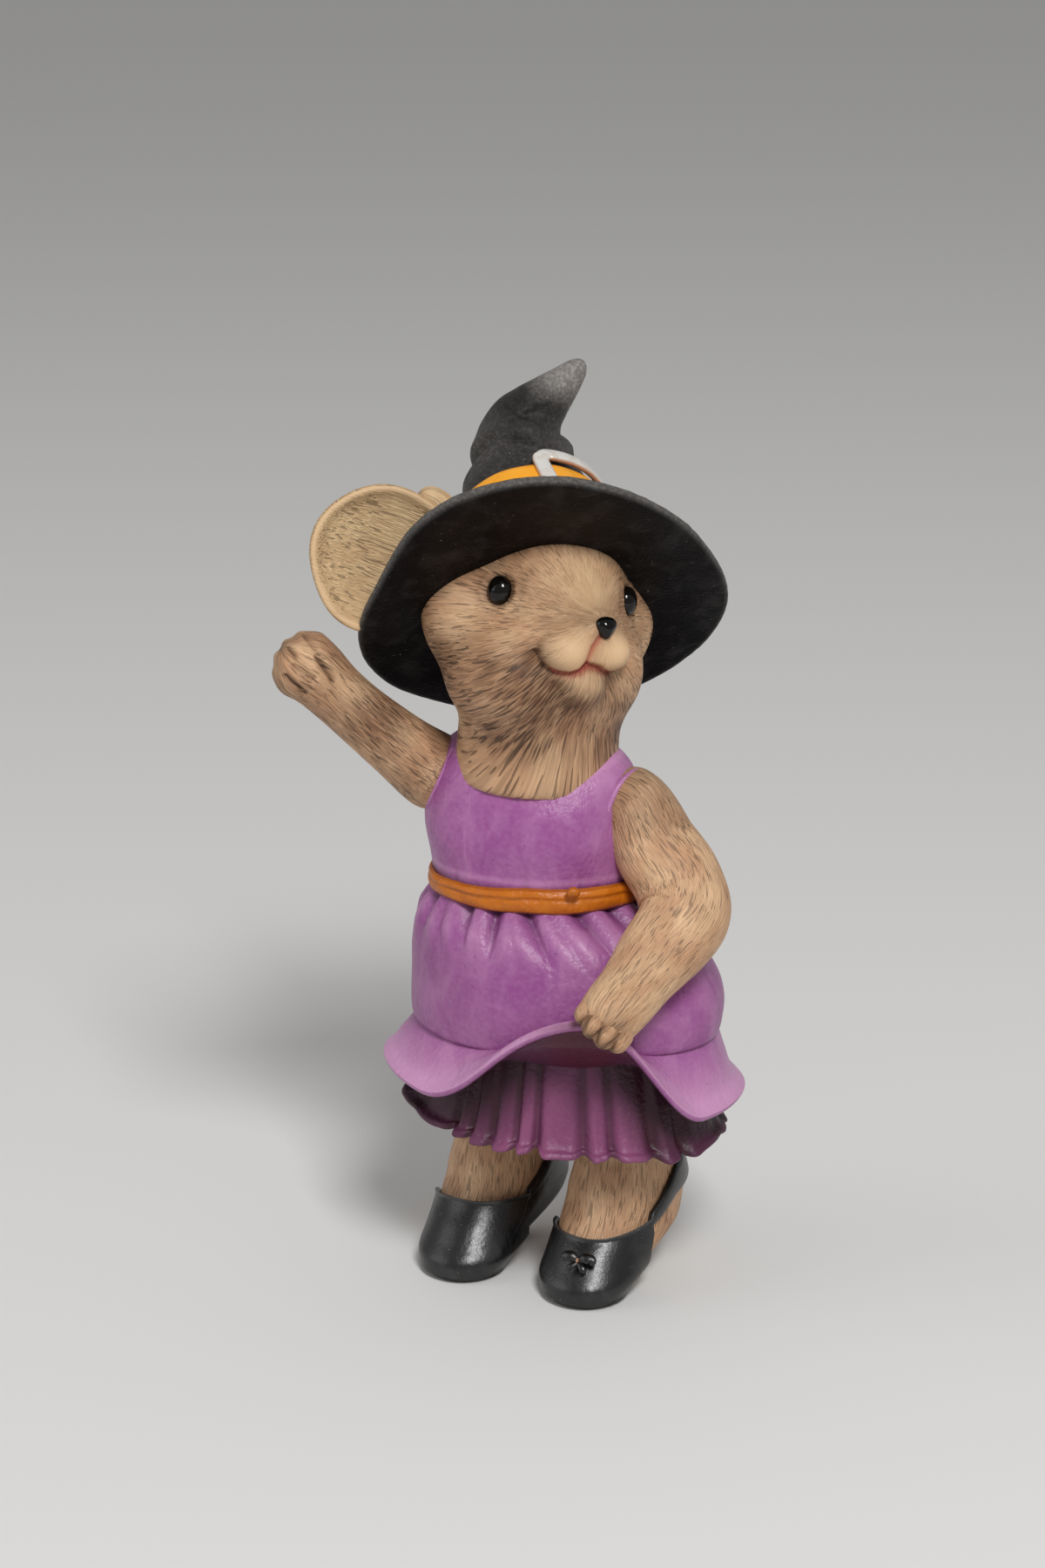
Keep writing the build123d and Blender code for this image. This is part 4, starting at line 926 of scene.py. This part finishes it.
stations += [(*skirt_middle, reach, height) for reach, height in (
    (crease - 1.5, crease_height - 0.1), (crease + 0.3, crease_height - 0.2),
    (middle_reach, middle_height + 0.7), (rim - 1.4, rim_height + flare * 0.14 + 0.85),
    (rim - 0.3, rim_height + 0.75), (rim + 0.25, rim_height + 0.05),
    (rim - 0.35, rim_height - 0.7), (rim - 1.5, rim_height + flare * 0.12 - 0.75),
    (middle_reach - 0.2, middle_height - 0.9), (crease - 1.2, crease_height - 1.5 - 2.0 * bump),
    (crease - 3.4, crease_height - 1.8 - 2.6 * bump))]
skirt = ringed(turn, skirt_rows, stations)

# %% [markdown]
# Each gather is a narrow furrow under the sash that fades as it falls, with a soft swell on either side.

# %% Gathers
place = np.linspace(0, len(stations) - 1, skirt_rows)[:, None]
furrow_depth, swell_height = 1.7, 0.6
fall = puff_foot + puff_tall - skirt[..., 2]
gathers, swell = 0, 0
for angle, run in ((-62, 5), (-29, 5.5), (-8.5, 7), (14, 6.5), (45, 6), (66, 5), (88, 6), (112, 5), (131, 7),
                   (158, 6), (181, 7), (203, 6), (232, 6), (262, 6), (282, 5)):
    off = from_angle(turn, angle + 0.9 * sin(angle) * (fall - 2))
    fade = cut(1 - (fall - 1.0) / run) ** 0.7 * cut(fall + 0.5)
    narrow = 6.0 * cut(1 - (fall - 0.5) / (run + 1.0), 0.22, 1)
    gathers = np.maximum(gathers, bell(off, narrow) * fade)
    swell = np.maximum(swell, bell(np.abs(off) - 10.0, 5.5) * cut(1 - np.abs(fall - 4.5) / 4.5) ** 0.8)
on_puff = place < 8.2
dent = (np.where(on_puff, -furrow_depth * gathers + swell_height * swell, 0)
        + 0.42 * uneven(skirt, 4.5, 2.6) * cut(12.5 - place) * cut(fall / 4))
in_crease, on_edge = bell(place - 9.2, 0.45), bell(place - 13.6, 0.7)
under, on_flare = cut((place - 14.6) / 0.8), cut((place - 9.8) / 2.5) * (place < 14)
# painted shade: darker in the gathers, in the crease under the puff and on the hem's underside, which is also
# redder, as is the edge near the paw; painted highlight: paler on the hem's edge, on the swells between the
# gathers and on the flare
casting("dress_overskirt", [patch(
    skirt + oval(turn, 0, 0, 0, dent, dent),
    wash=cut(0.07 * on_puff + 0.70 * gathers ** 1.8 * on_puff + 0.8 * in_crease + 0.85 * under, 0, 0.92),
    pale=cut(0.5 * on_edge + 0.45 * swell ** 2 * on_puff + 0.85 * on_flare, 0, 0.9),
    red=cut(0.25 * under + 0.75 * (under + on_edge) * bell(from_paw, 16.0), 0, 0.85))],
        "dress_paint", "overskirt")

# %% [markdown]
# ## Petticoat
# The underskirt is pressed into about twenty-five uneven pleats. They are waves of two sines, spaced unevenly
# and deeper in some places. Its hem waves with them, and the wall turns up inside it.

# %% Petticoat shape
turn, petticoat_rows, pleat_count, hem_height = circle(640), 76, 25, 24.1
phase = pleat_count * turn + 1.9 * sin(3 * turn + 0.5) + 1.5 * sin(5 * turn + 2.0) + 0.9 * sin(11 * turn)
ridge = 0.75 * sin(phase) + 0.25 * sin(2 * phase + 0.8)
pleats = ridge * (1 + 0.45 * sin(2 * turn + 1) + 0.35 * sin(7 * turn))
petticoat_oval, petticoat_top, petticoat_tall = oval_reach(turn, 22.0, 17.4), 42.0, 19.0
slope = -hem_slope * petticoat_oval * sin(turn)
hem = hem_height + slope - 0.30 * pleats + 0.30 * sin(4 * turn) + 0.2 * sin(9 * turn + 1)
outer = petticoat_oval + 1.1 * bell(np.degrees(turn) - 283, 28)
stations = [(petticoat_oval * size + 0.50 * depth * pleats,
             height + (petticoat_top - height) / petticoat_tall * slope)
            for size, height, depth in ((0.78, 42.0, 0.05), (0.82, 38.0, 0.2), (0.86, 33.5, 0.4),
                                        (0.915, 29.0, 0.65), (0.965, 25.6, 1.0))]
stations += [(outer + 0.2 + 0.60 * pleats, hem + 0.7), (outer + 0.4 + 0.65 * pleats, hem + 0.15),
             (outer - 0.2 + 0.60 * pleats, hem - 0.2), (outer - 1.0 + 0.5 * pleats, hem + 0.3),
             (outer - 2.0 + 0.2 * ridge, hem + 1.6), (outer - 4.5, hem + 3.0)]
petticoat = ringed(turn, petticoat_rows, [(*skirt_middle, reach, height) for reach, height in stations])
# painted shade: darker and redder in the valleys of the pleats, under the overskirt's hem and inside the
# turned-up hem; painted highlight: paler on the ridges below that shade
valley, down = cut(0.2 - ridge), np.linspace(0, 1, petticoat_rows)[:, None]
over = np.interp(turn, circle(360), rim_height, period=2 * np.pi)
shade = cut(1.35 - (over - petticoat[..., 2]) / 9.5)
casting("pleated_petticoat", [patch(
    petticoat, wash=cut(0.40 * valley + 0.90 * shade + 0.6 * (down > 0.72), 0, 0.92),
    pale=cut(0.35 * cut(ridge) * (down < 0.66) * (1 - shade)), red=cut(0.25 * valley + 0.3 * shade, 0, 0.5))],
        "petticoat_paint", "petticoat")

# %% [markdown]
# ## Sash
# The sash is a band of clay pressed over the waist seam, with two long wrinkles and a small knot. Its profile
# is a closed loop that goes round the waist.

# %% Sash shape
turn = circle(260)
sash_height = 57.9
profile = through([(-1.65, 0.05), (-1.5, 0.75), (-0.9, 1.20), (-0.1, 1.30), (0.45, 1.12), (0.9, 1.25),
                   (1.4, 1.0), (1.62, 0.6), (1.6, 0.0), (0.0, -0.4), (-1.65, 0.05)], 64)[:-1]
up, proud = profile[:, :1], profile[:, 1:]
slim = 1 - 0.5 * cut(-sin(turn)) ** 2
height = (sash_height + up * (1 + 0.06 * sin(3 * turn)) * (0.4 + 0.6 * slim)
          + 0.15 * sin(2 * turn + 0.4) + 0.08 * sin(7 * turn))
reach = oval_reach(turn, 14.2, 11.3) + proud * slim + 0.06 * sin(13 * turn + 2 * up) * (proud > 0.9)
sash = oval(turn, *waist_middle, height, reach, reach)
fold_shade_streaks = 0.5 + 0.5 * sin(5 * turn + 3 * sin(4 * turn))
knot = limb([(6.8, -11.9, 59.4), (7.6, -11.7, 60.0), (8.3, -11.3, 59.5)], [0.45, 0.7, 0.45], 24, 24)
# painted shade: darker in uneven streaks along the fold between the two wrinkles, and along the lower and upper
# edges
casting("waist_sash_band", [
    patch(sash, wrap_rows=True, wash=cut(
        0.55 * fold_shade_streaks * bell(up - 0.45, 0.2) * (proud > 0) + 0.6 * (up < -1.25) + 0.3 * (up > 1.5), 0, 0.8)),
    patch(knot["points"], wash=0.2)], "sash_paint", "waist_sash")

# %% [markdown]
# ## Arms and paws
# An arm is one limb that runs from the armhole into the hand. The left hand is flat and grips the hem, with
# four short fingers over the edge and brown wash in the lines between them. The right hand is a loose fist
# that waves, and the lines between its fingers are cut into the limb's end.

# %% Left arm
def square_to(vector, way):
    """Unit vector nearest to this one that is square to a way."""
    return unit(np.array(vector) - (np.array(vector) @ way) * way)


hand_way = unit(np.array([-0.25, -0.85, -0.47]))
hand_side = square_to((0.80, 0.09, -0.59), hand_way)
left_arm = limb([(8.7, -0.65, 71.2), (12.3, -0.9, 69.4), (15.7, -2.0, 64.3), (19.5, -2.7, 59.6),
                 (20.9, -5.6, 55.6), (19.0, -11.4, 52.0), (17.1, -17.6, 48.8), (16.0, -21.6, 46.9),
                 (15.4, -24.0, 45.5)],
                [4.3, 5.2, 5.75, 6.1, 6.0, 5.3, 4.5, 4.1, 3.9], 140, 80,
                flat=[1, 1, 1, 1, 1, 0.96, 0.86, 0.72, 0.6], lead=np.cross(hand_side, hand_way),
                lumps=0.22, blunt=0.6)
left_fingers = [
    limb([np.array(tip) + along * hand_way for along in (-3.2, -1.4, 0.9)],
         [radius * 0.9, radius * 1.05, radius], 36, 28, lead=(1, 0, 0), lumps=0.12)
    for tip, radius in (((13.2, -23.9, 47.2), 1.35), ((14.6, -24.9, 45.9), 1.45), ((16.2, -24.8, 44.6), 1.5),
                        ((17.7, -23.8, 43.8), 1.4))]


def between_fingers(part, fingers):
    """Wash grows where a point is close to the skin of another finger: a bell half a millimetre wide."""
    near = 0
    for other in (finger for finger in fingers if finger is not part):
        core = other["points"].mean(1)
        gap = np.min(norm(part["points"][:, :, None] - core[::4]), axis=-1)
        half = len(core) // 2
        thick = norm(other["points"][half] - core[half]).mean()
        near = np.maximum(near, bell(gap - thick, 0.5) * (gap < thick + 1.5))
    return near


hand_parts = [painted(finger, 0.08 + 0.9 * between_fingers(finger, left_fingers)) for finger in left_fingers]
# the left arm is darker towards the shoulder and in a spot at the outer side of the paw
arm_wash = cut(0.05 + cut((left_arm["points"][..., 2] - 66) / 8, 0, 0.35)
                   + 0.7 * blob(left_arm["points"], (17.6, -23.4, 46.2), 1.6), 0, 0.9)
casting("left_arm_and_paw", [painted(left_arm, arm_wash), *hand_parts], "fur_paint", "left_arm")

# %% Raised arm
palm, finger_cut, knuckle_height = np.array([-29.9, -10.6, 87.3]), 0.9, 0.30
reach_way = unit(np.array([-14.9, -8.0, 15.2]))
to_front = square_to((0.329, -0.903, 0.276), reach_way)
hand_frame = np.stack([reach_way, to_front, np.cross(reach_way, to_front)])
to_palm = [(-11.5, -2.8, 70.3), (-15.3, -2.9, 72.0), (-19.3, -4.9, 75.4), (-23.0, -6.9, 79.1),
           (-26.9, -9.0, 83.5)]
in_palm = np.array([(-1.0, 0, -0.3), (2.0, 0.2, -0.6), (5.0, 0.3, -0.8)])
right_arm = limb([*to_palm, *(palm + in_palm @ hand_frame)], [5.2, 5.3, 4.8, 4.35, 4.2, 4.5, 4.8, 4.55],
                 170, 96, lead=to_front, lumps=0.25, blunt=0.85)
points = right_arm["points"]
out, forward, sideways = np.moveaxis((points - palm) @ hand_frame.T, -1, 0)
lines = 0
for start, end, depth in (((1.4, 1.5), (-2.3, 0.3), 0.9), ((2.7, -3.4), (-0.6, -3.5), 0.8),
                          ((2.9, -1.5), (0.0, -1.2), 0.6), ((4.3, -0.1), (3.5, -0.4), 0.9),
                          ((3.6, 2.6), (2.2, 2.2), 0.5)):
    gap = to_segment(grid(out, sideways), start, end)[0]
    lines = np.maximum(lines, depth * bell(gap, 0.36) * (forward > 0.5))
knuckle = cut((out - 2.0) / 2) * sin(np.pi * (sideways + 1.0) / 2.3) ** 2
points = (points - unit(spokes(points)) * (finger_cut * lines)[..., None]
          + (knuckle_height * knuckle)[..., None] * reach_way)
right_arm["points"] = points
# the raised arm is brown all over, partly a brown stain and partly painted shade, and darker in the finger
# lines
arm_wash = cut(0.50 + 0.4 * uneven(points, 3.0, 1.0) - 0.06 * np.maximum(out, 0) + 0.9 * lines, 0.05, 1)
casting("right_arm_and_paw", [painted(right_arm, arm_wash)], "fur_paint", "right_arm")

# %% [markdown]
# ## Legs, shoes and straps
# A foot is a pile of level ovals, long and low at the toes and round at the ankle. The shoe is the same pile,
# a wall's thickness larger: the vamp is its front, cut off along the topline, and the back strap is a ribbon
# of it between two heights. A thin shank joins the sole to a short heel post.

# %% Foot
foot_stations = np.array([  # height, middle in front of the heel post, half length, half width
    (1.2, 14.28, 5.25, 4.8), (3.0, 12.35, 6.85, 5.7), (5.0, 8.80, 8.80, 6.05), (7.0, 5.50, 10.5, 6.3),
    (9.0, 3.95, 10.25, 6.3), (11.4, 3.05, 9.55, 6.3), (14.0, 2.90, 8.90, 6.3), (17.0, 3.00, 7.80, 6.2),
    (20.4, 3.30, 6.70, 6.1), (31.0, 3.36, 6.10, 5.9)])
foot_turn = turn_matrix(-10.0)
foot_places = {"left": np.array([10.7, 7.3, 0.0]), "right": np.array([-8.3, 10.0, 0.0])}


def foot_oval(height):
    """Middle and half sizes of the foot's level oval at a height: a smooth curve through its stations."""
    fine = through(foot_stations, 300)
    return [np.interp(height, fine[:, 0], fine[:, k]) for k in (1, 2, 3)]


def foot_point(turn, height, grow=0.0):
    """Point of the foot at a turn from the toes and a height; its right side and its heel are fuller."""
    middle, long, wide = foot_oval(height)
    side = np.interp(height, (1, 5, 9, 13, 17, 21), (1.0, 1.3, 1.7, 1.6, 0.8, 0.0)) * cut(-sin(turn))
    heel = np.interp(height, (3, 7, 11, 15, 19), (0.0, 1.5, 1.9, 1.2, 0.0)) * cut(-cos(turn)) ** 1.5
    side = side - 0.8 * heel * cut(sin(turn))
    return oval(turn, -side, heel - middle, height, wide + grow, long + grow)


def in_foot(points, side):
    """Foot's frame, whose origin is under the heel post, to the working frame."""
    return points @ foot_turn.T + foot_places[side]


turn = circle(110)
height = np.concatenate([np.linspace(1.6, 20, 70), np.linspace(20.6, 34, 30)])[:, None]
foot = foot_point(turn, height)
lump = 0.18 * uneven(foot, 2.6, 0.3)
foot = foot + oval(turn, 0, 0, 0, lump, lump)
# the legs grow darker towards the top: painted shade under the skirt
for side in foot_places:
    casting(side + "_leg_and_foot", [patch(in_foot(foot, side), flow=grid(
        height, 6.5 * cos(turn), 6.5 * sin(turn)), wash=cut(0.08 + (height - 20) / 14, 0.05, 0.55))],
            "fur_paint", side + "_leg")

# %% Shoe shapes
shell, vamp_foot, sole_top, side_top, quarter_turn = 0.75, 0.9, 1.2, 10.6, np.radians(69)


def topline(turn, toes):
    """The vamp's upper edge: it rises from the toes to the left side and falls a little on the right."""
    side = np.where(turn > 0, side_top - toes, -1.2 if toes < 10 else -2.2)
    return toes + side * cut(np.abs(turn) / quarter_turn) ** 2


def vamp(toes):
    """Columns go from one side of the foot over the toes to the other; rows rise from the sole to the topline,
    and back down inside."""
    across, up = np.linspace(-1, 1, 121), np.linspace(0, 1, 60)[:, None]
    height = vamp_foot + up * (topline(across * quarter_turn, toes) - vamp_foot)
    edge = np.interp(height, (0, 6.0, 8.3, 10.6), (9.0, 8.6, 7.6, 7.6))
    middle, long, _ = foot_oval(np.maximum(height, sole_top))
    turn = across * np.arccos(cut((edge - middle) / (long + 0.9), -1, 1))
    lip = cut((up - 0.94) / 0.06)
    outer = foot_point(turn, np.maximum(height, sole_top), 0.85) + oval(turn, 0, 0, 0, 0.25 * lip, 0.25 * lip)
    outer[..., 2] = height
    inner = outer - shell * unit(outer - np.array([0, -8.0, 5.0]))
    return np.concatenate([outer, inner[::-1]]), np.concatenate([0.30 * lip, 0 * lip])


def sole():
    """Flat plate under the toes: level ovals from the floor to the foot, with a rounded edge."""
    height = np.array([0.0, 0.0, 0.25, 0.7, 1.2, 1.6])[:, None]
    grow = np.array([-2.0, -0.45, 0.0, 0.35, 0.6, 0.6])[:, None]
    points = foot_point(circle(90), np.full_like(height, sole_top), grow)
    points[..., 2] = height
    return patch(points)


def strap(low, high, left_only=False):
    """Ribbon round the heel between two heights, each a line over the distance from the heel post."""
    start, loop = np.radians(66), circle(16)
    turn = np.linspace(start, 2 * np.pi - start, 120)[:, None]
    middle, long, _ = foot_oval(12.0)
    along = middle + long * cos(turn)
    lower = 3.2 * (sin(turn) < 0) * cut(along / 7.6)
    bottom, top = np.interp(along, *low) - lower, np.interp(along, *high) - lower
    height = (top + bottom) / 2 + (top - bottom) / 2 * squarish(sin(loop), 0.45)
    points = foot_point(turn, height, 0.35 * cut(1.6 * sin(turn), -1, 1) + 0.55 * cos(loop))
    return points[sin(turn[:, 0]) > 0] if left_only else points


# %% Shoes
strap_high = ((-11, 1.05, 7.6), (18.3, 15.9, 10.4))
strap_low = ((-11, 1.7, 7.6), (13.9, 11.6, 8.2))
quarter_low = ((-11, 0.0, 7.6), (10.0, 6.6, 3.6))
shank = limb([(0, -11.5, 0.9), (0, -8.0, 1.6), (0, -4.5, 3.2), (0, -1.0, 5.3), (0, 1.6, 6.4)],
             [3.2, 3.4, 3.4, 3.3, 2.6], 50, 40, flat=0.28)
post = limb([(0, 0.0, -0.2), (0, 0.1, 1.5), (0, 0.2, 4.0), (0, 0.3, 6.6)], [1.75, 1.8, 2.3, 3.1], 30, 36,
            lead=(0, 1, 0), ends=(False, False))
post["points"][..., 2] = np.maximum(post["points"][..., 2], 0.0)
for side, toes in (("left", 8.9), ("right", 10.4)):
    parts = [patch(in_foot(part["points"], side), flow=part["flow"]) for part in (sole(), shank, post)]
    upper, lip = vamp(toes)
    parts.append(patch(in_foot(upper, side), wrap_rows=True, wrap_columns=False, pale=lip))
    casting(side + "_shoe_vamp", parts, "shoe_paint", side + "_shoe")
    ribbons = [strap(strap_low, strap_high)]
    if side == "right":
        ribbons.append(strap(quarter_low, strap_high, left_only=True))
    casting(side + "_shoe_back_strap", [patch(in_foot(points, side)) for points in ribbons],
            "shoe_paint", side + "_shoe_strap")

# %% [markdown]
# The bow is two flattened loops, two short ends and a bead, pinched together on the vamp.

# %% Bow
bow_middle = in_foot(np.array([0.75, -18.3, 6.7]), "left")
bow_out = unit(np.array([-0.05, -0.72, 0.62]))
bow_side = unit(np.cross(bow_out, (0, 0, 1)))
bow_frame = np.stack([bow_side, np.cross(bow_side, bow_out), bow_out])


def bow_limb(places, radii, rows, columns, flat=1.0):
    """Limb through places given to the right, up and out from the bow's middle."""
    return limb(bow_middle + np.array(places) @ bow_frame, radii, rows, columns, flat=flat, lead=bow_out)


bow_parts = []
for way in (-1, 1):
    bow_parts.append(bow_limb([(0, 0, 0.2), (way * 1.0, 0.45, 0.45), (way * 2.0, 0.30, 0.3),
                               (way * 1.9, -0.35, 0.15)], [0.35, 0.75, 0.7, 0.35], 30, 20, 0.6))
    bow_parts.append(bow_limb([(0, -0.1, 0.1), (way * 0.8, -0.9, 0.2), (way * 1.3, -1.5, 0.0)],
                              [0.35, 0.45, 0.3], 24, 18, 0.6))
casting("left_shoe_bow_loops", bow_parts, "shoe_paint")
casting("left_shoe_bow_bead", [painted(bow_limb([(-0.2, 0, 0.5), (0.2, 0, 0.5)], [0.55, 0.55], 16, 20), 0.8)],
        "silver_paint", "left_shoe_bow")

# %% [markdown]
# ## Tail
# The tail leaves the skirt at the back and curls against it. It isn't seen from the front, but the figure is
# turned round on a shelf, so it has the same carved coat.

# %% Tail
puff_size = np.array([(0.0, 0.935), (0.10, 0.985), (0.22, 1.0), (0.36, 0.98), (0.54, 0.925)])
tail_path = []
for turned, tall in ((4, 0.44), (2, 0.34), (-8, 0.24), (-22, 0.21), (-36, 0.25), (-48, 0.34), (-54, 0.46)):
    radius = 2.2 - 1.4 * len(tail_path) / 6
    angle = np.radians(180 - turned)
    size = np.interp(tall, *puff_size.T)
    out = oval_reach(angle, skirt_wide * size, skirt_deep * size) + radius * 0.75 - (0 if tail_path else 4.4)
    middle = waist_middle + np.interp(tall, (0.22, 0.54), (1.0, 0.68)) * (skirt_middle - waist_middle)
    tail_path.append(oval(angle, *middle, puff_foot + puff_tall * tall, out, out))
tail = limb(tail_path, np.linspace(2.2, 0.8, 7), 110, 40, lumps=0.08)
casting("tail_casting", [painted(tail, 0.2)], "fur_paint", "tail")

# %% [markdown]
# ## Joining wires
# The wires are hidden in their holes. Their CAD nodes stay as they are and only get the look of drawn steel.

# %% Wires
for node in bpy.data.objects:
    if node.type == "MESH" and node.name.split(".")[0].endswith("_pin"):
        node.data.materials.clear()
        node.data.materials.append(coats["steel_wire"])
        print("steel on", node.name)

# %% [markdown]
# ## Floor, light and camera
# A plain pale floor and plain studio light show the paint as it is written. A large soft lamp stands high on
# the right of the camera, a weaker one on its left, and the world fills the rest.

# %% Floor
floor_half = 6
floor_mesh = bpy.data.meshes.new("floor")
floor_mesh.from_pydata([(x * floor_half, y * floor_half, 0) for x, y in ((-1, -1), (1, -1), (1, 1), (-1, 1))],
                       [], [(0, 1, 2, 3)])
floor = bpy.data.objects.new("floor", floor_mesh)
scene.collection.objects.link(floor)
material, tree = new_paint("pale studio floor", 0.8)
tree.nodes["Principled BSDF"].inputs["Base Color"].default_value = linear("#E9E8E6")
floor_mesh.materials.append(material)

# %% Light
world_strength, lamp_aim = 0.31, np.array([0, 0, 0.07])  # the aim is in metres
world = bpy.data.worlds.new("studio")
scene.world = world
world.use_nodes = True
world.node_tree.nodes["Background"].inputs["Color"].default_value = (1, 1, 1, 1)
world.node_tree.nodes["Background"].inputs["Strength"].default_value = world_strength


def placed_by(side, up, back, place):
    """Matrix whose columns are an object's three axes and its place."""
    return Matrix(np.vstack([np.stack([side, up, back, place], -1), [0, 0, 0, 1]]).tolist())


def soft_lamp(name, place, size, power):
    """Square area lamp that faces the figure's middle."""
    data = bpy.data.lights.new(name, "AREA")
    data.size, data.energy = size, power
    lamp = bpy.data.objects.new(name, data)
    back = unit(np.array(place) - lamp_aim)
    side = unit(np.cross((0, 0, 1), back))
    lamp.matrix_world = placed_by(side, np.cross(back, side), back, place)
    scene.collection.objects.link(lamp)
    print(name, "lamp", size, "m wide,", power, "W")


soft_lamp("key", (0.48, -0.72, 0.92), 0.32, 10.0)
soft_lamp("fill", (-0.9, -0.5, 0.5), 0.7, 1.8)

# %% Camera
yaw, pitch = np.radians(20.0), np.radians(16.0)
camera_distance, aim_height, aim_right, sensor, lens = 472.0, 71.0, -3.6, 36.0, 80.0
right_way = np.array([cos(yaw), sin(yaw), 0])
level_way = np.array([-sin(yaw), cos(yaw), 0])
sight = cos(pitch) * level_way - np.array([0, 0, sin(pitch)])
aim = np.array([0, 0, aim_height]) + aim_right * right_way + shift
camera_data = bpy.data.cameras.new("camera")
camera_data.sensor_width, camera_data.lens = sensor, lens
camera_data.clip_start, camera_data.clip_end = 0.01, 50
camera = bpy.data.objects.new("camera", camera_data)
stand = (aim - camera_distance * sight) / 1000
camera.matrix_world = placed_by(right_way, np.cross(right_way, sight), -sight, stand)
scene.collection.objects.link(camera)
scene.camera = camera
scene.view_settings.view_transform = "Standard"
print("camera stands", camera_distance, "mm away with a", lens, "mm lens")
